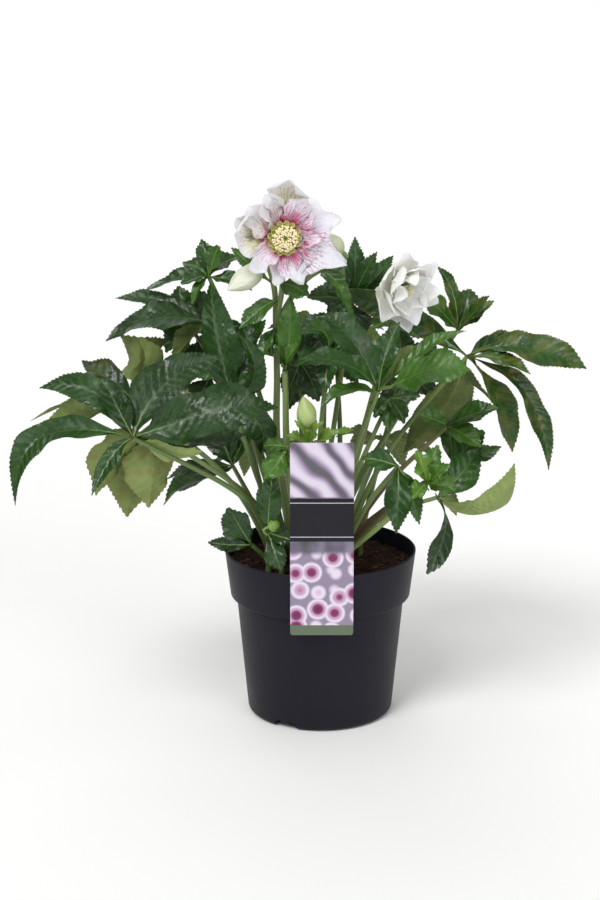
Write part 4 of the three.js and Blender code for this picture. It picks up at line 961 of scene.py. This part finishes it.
grow_rear_leaf("leaf_rear_left", (-32, 30), (-92, 104, 292), reach=84, width=32)
grow_rear_leaf("leaf_rear_middle", (2, 34), (6, 128, 322), reach=80, width=32)
grow_rear_leaf("leaf_rear_right", (22, 24), (98, 98, 286), reach=82, width=32)
grow_rear_leaf("leaf_rear_low_left", (-14, 44), (-52, 128, 206), reach=66, width=28)
grow_rear_leaf("leaf_rear_low_right", (16, 42), (60, 132, 214), reach=66, width=28)


# ------------------------------------------------------------------ flower stems
# Round green stems from the rootstock, each forking below its flowers, with toothed leafy bracts at the
# fork. They are one growth with their branches and bracts.
STEM = {"foot": 4, "branch": 2.5, "seat": 6, "tone": 0.6, "purple": 0.25, "bract_tone": 0.42}
BRANCH = {"tone": 0.7, "purple": 0.1}
# centre: the middle of the bloom's face; axis: the way it looks; back: how far behind the centre the stalk
# ends; start: how far from the middle its petals begin; ruffled: how much their edges ruffle; point_from
# and point: where along a petal its point begins, and how sharp it is.
MAIN_BLOOM = {
    "centre": (-32, -44, 435), "axis": (0.2, -0.97, 0.06), "back": 10.5, "start": 8, "ruffled": 1,
    "point_from": 0.8, "point": 0.7,
}
WHITE_BLOOM = {
    "centre": (69, -24, 388), "axis": (0.5, -0.82, -0.15), "back": 10.5, "start": 6, "ruffled": 0.5,
    "point_from": 0.66, "point": 0.8,
}
BUDS = {
    "bud_upright": {"base": (-10.5, -61, 275), "tip": (-15.5, -60, 302.5), "radius": 8.8, "tone": 0.1},
    "bud_left": {"base": (-51, -24, 406), "tip": (-79, -46, 391), "radius": 10, "tone": 1.0},
    "bud_right": {"base": (17.5, -12.6, 417.5), "tip": (2, -24, 435), "radius": 8, "tone": 0.85},
}


def bloom_axes(bloom):
    """Out of a bloom's face, up in its face, and to its right."""
    out = Vector(bloom["axis"]).normalized()
    up = (Vector((0, 0, 1)) - out * out.z).normalized()
    return out, up, up.cross(out)


def stalk_end(base, direction):
    """The last two corners of a stalk that runs straight into the base of what it carries."""
    return [base - direction * STEM["seat"], base]


def behind_bloom(bloom):
    """A stalk's end at the back of a bloom."""
    out = bloom_axes(bloom)[0]
    return stalk_end(Vector(bloom["centre"]) - out * bloom["back"], out)


def behind_bud(name):
    """A stalk's end at the foot of a bud."""
    base = Vector(BUDS[name]["base"])
    return stalk_end(base, (Vector(BUDS[name]["tip"]) - base).normalized())


def bract(base, tip, width, face, via=None, **own):
    """A bract: a small leaflet on its own, by its base on the stem."""
    return {"base": base, "face": face, **blade(tip, width, via, **own)}


def grow_stem(name, foot, corners, branches, bracts, curly=1):
    """A stem from its foot on the soil through the corners, the last of which is its fork, with the branches
    from the fork, and its bracts."""
    sheet = new_sheet()
    add_stalk(sheet, rooted(foot, corners), STEM["foot"], STEM["branch"], 2, STEM["tone"], STEM["purple"])
    for branch in branches:
        path = [corners[-1], *branch]
        add_stalk(sheet, path, STEM["branch"], STEM["branch"], 2, BRANCH["tone"], BRANCH["purple"])
    for leaflet in bracts:
        looks = {**LEAFLET, "tone": STEM["bract_tone"], "curly": curly}
        add_leaflet(sheet, leaflet["base"], {**looks, **leaflet})
    settle_sheet(name + "_growth", sheet, leaf_skins, name)


grow_stem("stem_main_bloom", (-24, -4), [(-38, -12, 250), (-38, -14, 310), (-39, -15, 356)], [
    [(-33, -20, 392), (-35, -20, 418), *behind_bloom(MAIN_BLOOM)],
    [(-40, -12, 385), *behind_bud("bud_left")],
    [(-14, -6, 392), (14, -2, 408), *behind_bud("bud_right")],
], [
    bract((-36, -18, 378), (-70, -36, 356), 17, (-0.2, -0.8, 0.5)),
    bract((-34, -20, 392), (-11, -38, 385), 24, (0.1, -0.9, 0.4)),
    bract((-39, -15, 354), (-52, -30, 326), 13, (-0.3, -0.8, 0.4)),
    bract((-39, -15, 354), (-43, -28, 330), 15, (0, -0.8, 0.4)),
    bract((-43, -15, 392), (-77, -4, 420), 13, (-0.2, -0.8, 0.5)),
    bract((0, -4, 400), (17, -34, 387), 18, (0.3, -0.8, 0.5)),
    bract((4, -4, 402), (29, -16, 358), 16, (0.4, -0.8, 0.4), (17, -14, 384)),
])
grow_stem("stem_white_bloom", (8, -1), [(36, 0, 250), (56, 0, 330), (63, -4, 360)], [
    behind_bloom(WHITE_BLOOM),
], [
    bract((62, -3, 356), (84, -22, 344), 14, (0.2, -0.7, 0.6)),
    bract((62, -3, 356), (44, -16, 352), 14, (-0.2, -0.7, 0.6)),
])
grow_stem("stem_leafy", (-13, -36), [(-28, -34, 230), (-31, -31, 318)], [], [
    bract((-31, -31, 315), (-17, -34, 346), 15, (-0.6, -0.5, 0.3)),
    bract((-31, -31, 315), (-40, -36, 342), 14, (0.7, -0.5, 0.3)),
    bract((-31, -31, 315), (-26, -26, 383), 22, (0.1, -0.9, 0.1), (-27, -30, 350)),
])
grow_stem("stem_bud", (0, -46), [(-4, -58, 220), (-9, -62, 262)], [
    behind_bud("bud_upright"),
], [
    bract((-9, -62, 260), (-23, -70, 284), 9, (0.6, -0.7, 0.3), tone=0.9),
    bract((-9, -62, 260), (2, -72, 284), 9, (-0.6, -0.7, 0.3), tone=0.9),
    bract((-9, -62, 260), (27, -68, 275), 11, (0, -0.6, 0.8), tone=0.85),
    bract((-9, -62, 260), (-32, -60, 268), 10, (0, -0.6, 0.8), tone=0.85),
    bract((-9, -62, 260), (-4, -38, 278), 9, (0, 0.6, 0.8), tone=0.85),
], curly=3)


# ------------------------------------------------------------------ petals of both blooms
# Double blooms: thin pointed petals in layers round a cone at the stalk's end, cupped, waved and a little
# creased. The main bloom is nearly white with crimson veins and spots; the other is white.
PETAL = {
    "thickness": 0.45, "base_width": 4, "fullness": 0.5, "rows": 34, "half_columns": 10, "crease": 0.5,
    "crease_width": 1.6, "wave": 0.08, "wave_turns": 7, "wave_slant": 2.2, "ruffle": 0.06,
    "ruffle_turns": (14, 31), "scallop": 0.08, "scallop_turns": (9, 21),
}
# What a petal is like unless it is told otherwise. curl: how many degrees its edges turn up; roll: how far
# it turns round its rib; widest: where along its rib it is widest; phase: where its edge's slow wave starts;
# green: how green its throat is; veined: how strong its veins are; stretch: how far out they reach.
PETAL_LOOKS = {"curl": 32, "roll": 0, "widest": 0.58, "phase": 0, "green": 0, "veined": 1, "stretch": 1}


def petal(angle, reach, width, lift, bulge, seat, **own):
    """A petal. `angle` and `reach` are which way and how far its tip is from the bloom's middle; `lift`,
    `bulge` and `seat` are how far its tip, its middle and its base stand forward. Its own may also be
    `belly`, how far out its middle is."""
    return {
        "angle": angle, "reach": reach, "width": width, "lift": lift, "bulge": bulge, "seat": seat,
        "belly": reach / 2, **own,
    }


MAIN_PETALS = [
    petal(42, 43, 34, -7, -7, -4, veined=0.3, green=0.2),
    petal(58, 38, 30, 6, 1, -2, roll=-4, veined=1.2, green=0.1),
    petal(138, 41, 34, 5, -1, -3, veined=0.8, green=0.3),
    petal(14, 54, 36, -8, -8, -4, veined=0.5, stretch=1.3, point_from=0.52, point=0.95),
    petal(156, 43, 30, -3, -7, -4, veined=0.3, green=0.7),
    petal(86, 49, 42, 12, -7, -4, belly=36, curl=66, veined=0.7, green=0.85, stretch=1.3, point_from=0.88,
          point=0.45, widest=0.64),
    petal(-101, 41, 20, 1, -3, -3, curl=50, veined=1.0),
    petal(-25, 60, 40, 1, 2, -1, widest=0.52, veined=1.3, stretch=1.4, point_from=0.54, point=0.95),
    petal(114, 41, 32, 8, -2, -3, roll=18, curl=62, veined=0.3, green=0.35, point_from=0.86, point=0.5),
    petal(-141, 40, 27, 4, 1, -2, roll=-8, curl=55, veined=0.8),
    petal(174, 44, 44, 12, -3, -0.5, belly=29, roll=8, curl=60, veined=0.8, green=0.8, stretch=1.2,
          point_from=0.86, point=0.5, widest=0.62),
    petal(-68, 43, 36, 4, 1, -2, phase=2, roll=4, veined=1.4, point_from=0.58, point=0.9),
    petal(24, 47, 40, 7, 2, -2, roll=6, phase=4, veined=1.6, point_from=0.7, point=0.8),
    petal(-4, 30, 20, 10, 1, -2, curl=50, veined=0.8),
]
WHITE_PETALS = [
    petal(95, 35, 34, 10, -4, -4, roll=10, green=0.3),
    petal(35, 36, 32, 8, -4, -4, roll=14),
    petal(-22, 36, 31, 9, -4, -4, roll=14),
    petal(-82, 38, 31, 9, -4, -4, roll=14),
    petal(-140, 35, 31, 11, -4, -4, roll=14, green=0.3),
    petal(155, 34, 34, 13, -4, -4, roll=10, green=0.5),
    petal(70, 24, 29, 20, 5, -2, belly=17, roll=8),
    petal(-5, 29, 29, 16, 3, -2, roll=8),
    petal(-75, 30, 29, 16, 4, -2, roll=8),
    petal(-145, 24, 29, 21, 5, -2, belly=17, roll=8),
    petal(142, 22, 31, 23, 6, -2, belly=18, roll=8),
    petal(104, 10, 26, 22, 9, 0, belly=14, roll=4, curl=40),
    petal(30, 22, 24, 15, 5, 0, roll=4, curl=40),
    petal(-40, 22, 24, 15, 5, 0, roll=4, curl=40),
    petal(-112, 18, 24, 20, 7, 0, belly=14, roll=4, curl=40),
    petal(172, 10, 27, 23, 9, 0, belly=14, roll=4, curl=40),
]


def in_bloom(bloom, radius, degrees, height):
    """A point in a bloom, by its distance from the axis, its angle and its height over the face."""
    out, up_face, right = bloom_axes(bloom)
    angle = math.radians(degrees)
    away = right * math.cos(angle) + up_face * math.sin(angle)
    return Vector(bloom["centre"]) + away * radius + out * height


def add_petal(sheet, looks):
    """A petal, in rows of points from its base to its tip, on both its faces."""
    out = bloom_axes(looks)[0]
    base = in_bloom(looks, looks["start"], looks["angle"], looks["seat"])
    middle = in_bloom(looks, looks["belly"], looks["angle"], looks["bulge"])
    tip = in_bloom(looks, looks["reach"], looks["angle"], looks["lift"])
    rib = rib_through(base, middle, tip)
    width, curl = looks["width"], math.radians(looks["curl"])
    broad, small, long, short = [phases(2) for _ in range(4)]
    state = (looks["green"], looks["veined"], looks["stretch"])
    length = looks["reach"] - looks["start"]
    rows, columns = PETAL["rows"], PETAL["half_columns"]
    petal_rows = []
    for i in range(rows + 1):
        u = i / rows
        point, along = rib_at(rib, u)
        up, across = blade_frame(along, out, looks["roll"])
        shape = outline(min(u, looks["point_from"]), looks["widest"], PETAL["fullness"])
        shape *= min(1, (1 - u) / (1 - looks["point_from"])) ** looks["point"]
        row = []
        for k in range(-columns, columns + 1):
            v = k / columns
            outer = k > 0
            first, second = PETAL["scallop_turns"]
            scallop = math.sin(first * u + broad[outer]) + 0.5 * math.sin(second * u + small[outer])
            scallop *= PETAL["scallop"] * looks["ruffled"] * min(1, 3 * u)
            half = max(0.5 * width * shape * (1 + scallop), PETAL["base_width"] / 2 * (1 - u))
            turn = PETAL["wave_turns"] * u + PETAL["wave_slant"] * v + looks["phase"]
            wave = PETAL["wave"] * width * math.sin(turn) * v * v
            first, second = PETAL["ruffle_turns"]
            fine = math.sin(first * u + long[outer]) + 0.5 * math.sin(second * u + short[outer]) * abs(v)
            fine *= PETAL["ruffle"] * looks["ruffled"] * width * abs(v) ** 3 * min(1, 4 * u)
            crease = -PETAL["crease"] * math.exp(-(v * half / PETAL["crease_width"]) ** 2) * (1 - u)
            sideways = half * math.sin(curl * v) / curl
            raised = half * (1 - math.cos(curl * v)) / curl
            normal = up * math.cos(curl * v) - across * math.sin(curl * v)
            middle = point + across * sideways + up * raised + normal * (wave + fine + crease)
            rise = normal * PETAL["thickness"] / 2
            values = (u * length, v * half, abs(v))
            row.append(add_pair(sheet, middle, rise, values, state, abs(k) == columns))
        petal_rows.append(row)
    end = add_point(sheet, tip, (length, 0, 0), state)
    petal_rows[-1] = [(end, end)] * len(petal_rows[-1])
    add_skins(sheet, petal_rows)


def add_spun(sheet, base, axis, profile, sides, kind, state=(0, 0, 0), shape=None):
    """A closed solid spun round an axis from a profile of (share of the axis, radius)."""
    along = axis.normalized()
    side = along.orthogonal().normalized()
    rings = []
    for share, radius in profile:
        centre, far = base + axis * share, axis.length * share
        rings.append(add_ring(sheet, centre, along, side, radius, sides, far, share, state, shape))
    close_rings(sheet, rings, kind)


def petal_material(name, plain, wash, vein, spot, throat, strength):
    """Petal tissue: veins that fan out from the base, spots between them, a wash, a green throat."""
    material, add = new_material(name)
    blade_mm, along, across, share = point_values(add, "blade_mm")
    _, greened, veined, stretch = point_values(add, "state")
    drawn = add("Math", [along, stretch], operation="DIVIDE")
    strong = add("Math", [veined, strength], operation="MULTIPLY")
    place = add("TexCoord").outputs["Object"]

    # The veins' lines fan out from 12 mm behind the base, broken here and there.
    far = add("Math", [along, 12], operation="ADD")
    fan = add("Math", [across, far], operation="DIVIDE")
    wobble = add("TexNoise", {"Vector": place, "Scale": 1 / (8 * MM), "Detail": 4})
    bent = add("Math", [wobble, 0.3, fan], operation="MULTIPLY_ADD")
    paced = add("Math", [bent, 11], operation="MULTIPLY")
    near = add("Math", [paced, 0.5], operation="PINGPONG")
    lines = add("MapRange", [near, 0.02, 0.26, 1, 0], **SMOOTH)
    fades = add("MapRange", [drawn, 8, 34, 1, 0], **SMOOTH)
    broken = add("TexNoise", {"Vector": place, "Scale": 1 / (6 * MM), "Detail": 3})
    kept = add("MapRange", [broken, 0.36, 0.54, 0.25, 1], **SMOOTH)
    shown = add("Math", [kept, strong], operation="MULTIPLY")
    lines = add("Math", [lines, fades], operation="MULTIPLY")
    lines = add("Math", [lines, shown], operation="MULTIPLY")
    dots = add("TexVoronoi", {"Vector": blade_mm, "Scale": 0.42, "Randomness": 1})
    dotted = add("MapRange", [dots, 0.12, 0.26, 1, 0], **SMOOTH)
    near_base = add("MapRange", [drawn, 16, 38, 1, 0], **SMOOTH)
    dotted = add("Math", [dotted, near_base], operation="MULTIPLY")
    dotted = add("Math", [dotted, shown], operation="MULTIPLY")

    # The wash of colour, strongest near the base and at the rim, where the petal isn't green.
    rim = add("MapRange", [share, 0.88, 1, 0, 0.28], **SMOOTH)
    washed = add("MapRange", [along, 6, 27, 1, 0], **SMOOTH)
    white_part = add("MapRange", [greened, 0, 0.8, 1, 0], **SMOOTH)
    washed = add("Math", [washed, white_part], operation="MULTIPLY")
    washed = add("Math", [washed, strong, rim], operation="MULTIPLY_ADD")
    patchy = add("MapRange", [broken, 0.3, 0.6, 0.4, 1], **SMOOTH)
    washed = add("Math", [washed, patchy], operation="MULTIPLY")
    inside = add("MapRange", [along, 10, 38, 1, 0], **SMOOTH)
    greenish = add("Math", [inside, greened], operation="MULTIPLY")
    blotch = add("MapRange", [along, 5, 13, 1, 0], **SMOOTH)
    blotch = add("Math", [blotch, strong], operation="MULTIPLY")
    colour = plain
    for factor, tint in ((greenish, throat), (washed, wash), (lines, vein), (dotted, spot), (blotch, spot)):
        colour = add("Mix", {0: factor, 6: colour, 7: tint}, **COLOURS)

    height = add("Math", [near, wobble], operation="ADD")
    bump = add("Bump", {"Height": height, "Strength": 0.2, "Distance": 0.3 * MM})
    finish_material(add, {
        "Base Color": colour, "Roughness": 0.5, "IOR": 1.4, "Specular IOR Level": 0.3, "Normal": bump,
        "Subsurface Weight": 0.8, "Subsurface Scale": 3 * MM, "Subsurface Radius": (1, 0.85, 0.8),
    })
    return material


# Petal tissue is thin, soft and a little see-through, with a silky surface. Its colours: the plain tissue,
# the wash, the veins, the spots and the throat.
pink_face, pink_back, white_face, white_back = [
    petal_material("silky_petal_" + name, *colours, strength) for name, *colours, strength in (
        ("pink_face", "#ebe5f3", "#d67a9b", "#ab2a5c", "#9c1c4c", "#d0db8e", 0.9),
        ("pink_back", "#e8e5ee", "#e0cbd8", "#cfa3b8", "#cfa9ba", "#d0d5a2", 0.3),
        ("white_face", "#fbf8fa", "#f4f4ec", "#eeeee4", "#e6e9cf", "#dde2b0", 0.3),
        ("white_back", "#f9f6f6", "#eeefe0", "#e6e8d4", "#dde1ba", "#d3db9c", 0.4),
    )
]

CONE = {"length": 11.5, "sides": 20, "profile": [(0, 3), (0.3, 5), (0.65, 8), (0.85, 8.6), (1, 8)]}
draw = random.Random(23)
for name, bloom, petals, skins, slot in (
    ("bloom_main_petals", MAIN_BLOOM, MAIN_PETALS, [pink_face, pink_back], "petal_pink"),
    ("bloom_white_petals", WHITE_BLOOM, WHITE_PETALS, [white_face, white_back], "petal_white"),
):
    sheet = new_sheet()
    for own in petals:
        add_petal(sheet, {**PETAL_LOOKS, **bloom, **own})
    cone_base = in_bloom(bloom, 0, 0, -bloom["back"])
    add_spun(sheet, cone_base, bloom_axes(bloom)[0] * CONE["length"], CONE["profile"], CONE["sides"], 2)
    settle_sheet(name + "_layers", sheet, [*skins, stalk_skin], name)


# ------------------------------------------------------------------ hearts of the blooms
# Inside the petals stand a ring of small tubular nectaries, a dense brush of stamens with cream anthers,
# and five pale green carpels in the middle. They grow from the same cone as the petals.
def heart_material(name, stops, roughness, grain_mm):
    """Small soft organs, coloured from their base to their end."""
    material, add = new_material(name)
    share = point_values(add, "blade_mm")[3]
    place = add("TexCoord").outputs["Object"]
    grain = add("TexNoise", {"Vector": place, "Scale": 1 / (grain_mm * MM), "Detail": 3})
    wander = add("Math", [grain, 0.25, -0.12], operation="MULTIPLY_ADD")
    colour = add("ValToRGB", [add("Math", [share, wander], operation="ADD")], stops)
    bump = add("Bump", {"Height": grain, "Strength": 0.4, "Distance": 0.2 * MM})
    finish_material(add, {"Base Color": colour, "Roughness": roughness, "Normal": bump})
    return material


# Nectary: a firm, shiny olive tube, yellower at its mouth. Anthers: powdery cream. Carpels: matt green.
nectary_skin, filament_skin, anther_skin, carpel_skin = [
    heart_material(*looks) for looks in (
        ("shiny_nectary", [(0.0, "#6d7a30"), (0.7, "#8f983f"), (1.0, "#c3c377")], 0.3, 1.5),
        ("pale_filament", [(0.0, "#cdd3a0"), (1.0, "#e9e3bd")], 0.5, 1.0),
        ("powdery_anther", [(0.0, "#e2cf95"), (1.0, "#f1e4bb")], 0.8, 0.4),
        ("matt_carpel", [(0.0, "#a3b35f"), (0.7, "#bcc57f"), (1.0, "#b98a86")], 0.5, 1.0),
    )
]

# A nectary's profile: widening up to its mouth, and back down inside.
FUNNEL = [(0, 0.7), (0.25, 1.1), (0.55, 1.6), (0.8, 2.1), (0.95, 2.5), (1, 2.35), (0.93, 2.0), (0.7, 1.3)]
NECTARY_RINGS = [
    {"count": 13, "foot_radius": 9.6, "mouth_radius": 13.0, "foot": 1.4, "mouth": 6.8},
    {"count": 12, "foot_radius": 8.8, "mouth_radius": 11.0, "foot": 1.4, "mouth": 8.8},
]
sheet = new_sheet()
for ring in NECTARY_RINGS:
    for k in range(ring["count"]):
        degrees = 360 / ring["count"] * k + draw.uniform(-5, 5)
        foot = in_bloom(MAIN_BLOOM, ring["foot_radius"], degrees, ring["foot"])
        mouth = in_bloom(MAIN_BLOOM, ring["mouth_radius"], degrees, ring["mouth"] + draw.uniform(-0.8, 0.6))
        add_spun(sheet, foot, mouth - foot, FUNNEL, 12, 0)
settle_sheet("nectary_ring", sheet, [nectary_skin], "bloom_main_nectaries")

STAMEN = {
    "foot": 1.2, "turns": (-6, 6), "heads_vary": (-0.5, 0.5), "heights_vary": (-0.7, 0.7), "bow": 0.6,
    "filament": (0.34, 0.3, 0.24), "sunk": 0.4, "anther_length": 2.2,
    "anther": [(0, 0.35), (0.2, 0.8), (0.5, 0.95), (0.8, 0.75), (1, 0.3)],
}


def grow_stamens(name, bloom, stands_for, anther_size, rings):
    """Rings of stamens, each a thin filament with a rounded anther. A ring is its count, the radius of its
    feet, the radius of its heads and their height."""
    sheet = new_sheet()
    anther = [(share, radius * anther_size) for share, radius in STAMEN["anther"]]
    for count, foot_radius, head_radius, height in rings:
        for k in range(count):
            degrees = 360 / count * k + draw.uniform(*STAMEN["turns"])
            foot = in_bloom(bloom, foot_radius, degrees, STAMEN["foot"])
            radius = head_radius + draw.uniform(*STAMEN["heads_vary"])
            head = in_bloom(bloom, radius, degrees, height + draw.uniform(*STAMEN["heights_vary"]))
            bend = foot.lerp(head, 0.5) + bloom_axes(bloom)[0] * STAMEN["bow"]
            add_tube(sheet, [foot, bend, head], STAMEN["filament"], 5)
            lean = (head - foot).normalized()
            anther_axis = lean * STAMEN["anther_length"] * anther_size
            add_spun(sheet, head - lean * STAMEN["sunk"], anther_axis, anther, 7, 1)
    settle_sheet(name, sheet, [filament_skin, anther_skin], stands_for)


grow_stamens("stamen_brush", MAIN_BLOOM, "bloom_main_stamens", 1.2, [
    (8, 2.4, 2.9, 9.6), (12, 3.2, 4.0, 10.2), (17, 4.0, 5.6, 10.4), (23, 4.8, 7.2, 10.0),
    (28, 5.6, 8.7, 9.2), (30, 6.4, 9.8, 8.0),
])

# Each carpel swells a little and bends out at its end: radius and height of its corners.
CARPEL = {"corners": [(1.0, 1.2), (1.5, 6.5), (1.2, 10.2), (2.4, 12)], "thick": 1.15, "tapers": 0.8}
sheet = new_sheet()
for degrees in range(0, 360, 72):
    path = smooth_path([in_bloom(MAIN_BLOOM, radius, degrees, z) for radius, z in CARPEL["corners"]], 1.2)
    radii = [CARPEL["thick"] - CARPEL["tapers"] * i / (len(path) - 1) for i in range(len(path))]
    add_tube(sheet, path, radii, 8)
settle_sheet("carpel_cluster", sheet, [carpel_skin], "bloom_main_carpels")

grow_stamens("white_stamen_brush", WHITE_BLOOM, "bloom_white_stamens", 0.75, [
    (5, 0.8, 1.4, 9.8), (9, 1.8, 3.2, 9.2), (12, 3.0, 5.0, 8.0),
])


# ------------------------------------------------------------------ buds
# Unopened buds: five sepals wrapped round one another, greener at the foot. Three are pointed, on the
# flower stems; a small round one stands low on the left, where the lobed leaf forks.
POINTED = [
    (0, 0.28), (0.05, 0.5), (0.12, 0.72), (0.22, 0.9), (0.34, 0.98), (0.48, 1.0), (0.6, 0.9), (0.72, 0.72),
    (0.82, 0.5), (0.9, 0.32), (0.96, 0.16), (1.0, 0.05),
]
ROUND_BUD = {
    "base": (-45.5, -60, 187), "tip": (-35.5, -62.5, 190), "radius": 5.6,
    "rings": (0.01, 0.06, 0.15, 0.27, 0.4, 0.53, 0.66, 0.78, 0.88, 0.95, 0.99),
    "stalk": [(-46, -58, 179), (-49.5, -60, 184.5)], "stalk_radius": 1.3, "stalk_tone": 0.7,
}


def wrapped(share, angle):
    """Each sepal's outer edge stands over the next one's."""
    overlap = (angle / (2 * math.pi) * 5 + 0.7 * share) % 1
    return 0.93 + 0.1 * overlap ** 2


# Sepals: soft and silky, from green to nearly white as the bud ripens, with faint green veins along them.
bud_skin, add = new_material("silky_bud_sepal")
blade_mm, _, _, share = point_values(add, "blade_mm")
ripeness = point_values(add, "state")[1]
drawn_out = add("VectorMath", [blade_mm, (0.08, 0.8, 0)], operation="MULTIPLY")
streaks = add("TexNoise", {"Vector": drawn_out, "Scale": 1, "Detail": 3})
ripe = add("ValToRGB", [ripeness], [(0.0, "#6c8f3c"), (0.1, "#a8ba79"), (0.6, "#c2cc9c"), (1.0, "#d9dbc9")])
foot = add("MapRange", [share, 0, 0.55, 0.75, 0], **SMOOTH)
colour = add("Mix", {0: foot, 6: ripe, 7: "#8fa95a"}, **COLOURS)
veined = add("MapRange", [streaks, 0.5, 0.7, 0, 0.5], **SMOOTH)
colour = add("Mix", {0: veined, 6: colour, 7: "#9db069"}, **COLOURS)
bump = add("Bump", {"Height": streaks, "Strength": 0.4, "Distance": 0.3 * MM})
finish_material(add, {"Base Color": colour, "Roughness": 0.45, "Normal": bump})

for name, bud in BUDS.items():
    sheet = new_sheet()
    base = Vector(bud["base"])
    profile = [(share, radius * bud["radius"]) for share, radius in POINTED]
    add_spun(sheet, base, Vector(bud["tip"]) - base, profile, 60, 0, (bud["tone"], 0, 0), wrapped)
    settle_sheet(name + "_sepals", sheet, [bud_skin], name)

sheet = new_sheet()
base = Vector(ROUND_BUD["base"])
axis = Vector(ROUND_BUD["tip"]) - base
radius = ROUND_BUD["stalk_radius"]
add_stalk(sheet, [*ROUND_BUD["stalk"], base + axis * 0.1], radius, radius, 1, ROUND_BUD["stalk_tone"], 0)
profile = [(share, math.sin(math.pi * share) ** 0.5 * ROUND_BUD["radius"]) for share in ROUND_BUD["rings"]]
add_spun(sheet, base, axis, profile, 36, 0, shape=wrapped)
settle_sheet("round_bud", sheet, [bud_skin, stalk_skin])


# ------------------------------------------------------------------ tag
# A plain plant tag: a gloss-laminated plastic card with a stake behind it that hooks over the rim and
# stands in the soil. Its face is printed with simple bands, rings and a dark panel.
TAG = {
    "left": -26.5, "bottom": 98, "print_plane": -85.9, "foot_strip": 9, "rings_to": (70, 76),
    "panel": (84, 122), "panel_lines": (88, 118), "line": 0.35, "sweeps_from": (122, 124),
}
card, add = new_material("laminated_card")
place = add("TexCoord").outputs["Object"]
corner = (TAG["left"] * MM, 0, TAG["bottom"] * MM)
from_corner = add("VectorMath", [place, corner], operation="SUBTRACT")
in_mm = add("VectorMath", [from_corner, (1 / MM, 0, 1 / MM)], operation="MULTIPLY")
up = add("SeparateXYZ", [in_mm]).outputs["Z"]

# A soft ground; rings like open blooms on the low part; sweeping bands on the top part.
soft = add("TexNoise", {"Vector": in_mm, "Scale": 1 / 20, "Detail": 1})
ground = add("ValToRGB", [soft], [(0.3, "#39452f"), (0.5, "#675f72"), (0.7, "#93899f")])
cells = add("TexVoronoi", {"Vector": in_mm, "Scale": 1 / 17, "Randomness": 0.5})
ringed = add("ValToRGB", [cells], [
    (0.06, "#d8cf98"), (0.12, "#5f2648"), (0.26, "#7a3560"), (0.36, "#b991b0"), (0.5, "#d5ccdb"),
    (0.62, "#8a7f95"),
])
ringed.color_ramp.interpolation = "EASE"
low_part = add("MapRange", [up, *TAG["rings_to"], 1, 0], **SMOOTH)
colour = add("Mix", {0: low_part, 6: ground, 7: ringed}, **COLOURS)
waves = add("TexWave", {
    "Vector": in_mm, "Scale": 0.024, "Distortion": 5, "Detail": 1,
}, bands_direction="DIAGONAL").outputs["Fac"]
sweeps = add("ValToRGB", [waves], [(0.1, "#cfc6d6"), (0.5, "#aa9cb4"), (0.75, "#85778f"), (0.95, "#5b5a60")])
top_part = add("MapRange", [up, *TAG["sweeps_from"], 0, 1], **SMOOTH)
colour = add("Mix", {0: top_part, 6: colour, 7: sweeps}, **COLOURS)

# The dark panel with its two fine lines, and the strip at the foot. The card's other sides are plain.
over = add("Math", [up, TAG["panel"][0]], operation="GREATER_THAN")
under = add("Math", [up, TAG["panel"][1]], operation="LESS_THAN")
inside = add("Math", [over, under], operation="MULTIPLY")
colour = add("Mix", {0: inside, 6: colour, 7: "#18171d"}, **COLOURS)
for line_at in TAG["panel_lines"]:
    on_line = add("Math", [up, line_at, TAG["line"]], operation="COMPARE")
    colour = add("Mix", {0: on_line, 6: colour, 7: "#b9b2c4"}, **COLOURS)
foot_strip = add("Math", [up, TAG["foot_strip"]], operation="LESS_THAN")
colour = add("Mix", {0: foot_strip, 6: colour, 7: "#5d6a58"}, **COLOURS)
depth = add("SeparateXYZ", [place]).outputs["Y"]
printed = add("Math", [depth, TAG["print_plane"] * MM], operation="LESS_THAN")
colour = add("Mix", {0: printed, 6: "#e8e6ea", 7: colour}, **COLOURS)
finish_material(add, {"Base Color": colour, "Roughness": 0.34, "IOR": 1.5, "Specular IOR Level": 0.25})
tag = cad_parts["tag"]
tag.data.materials.clear()
tag.data.materials.append(card)
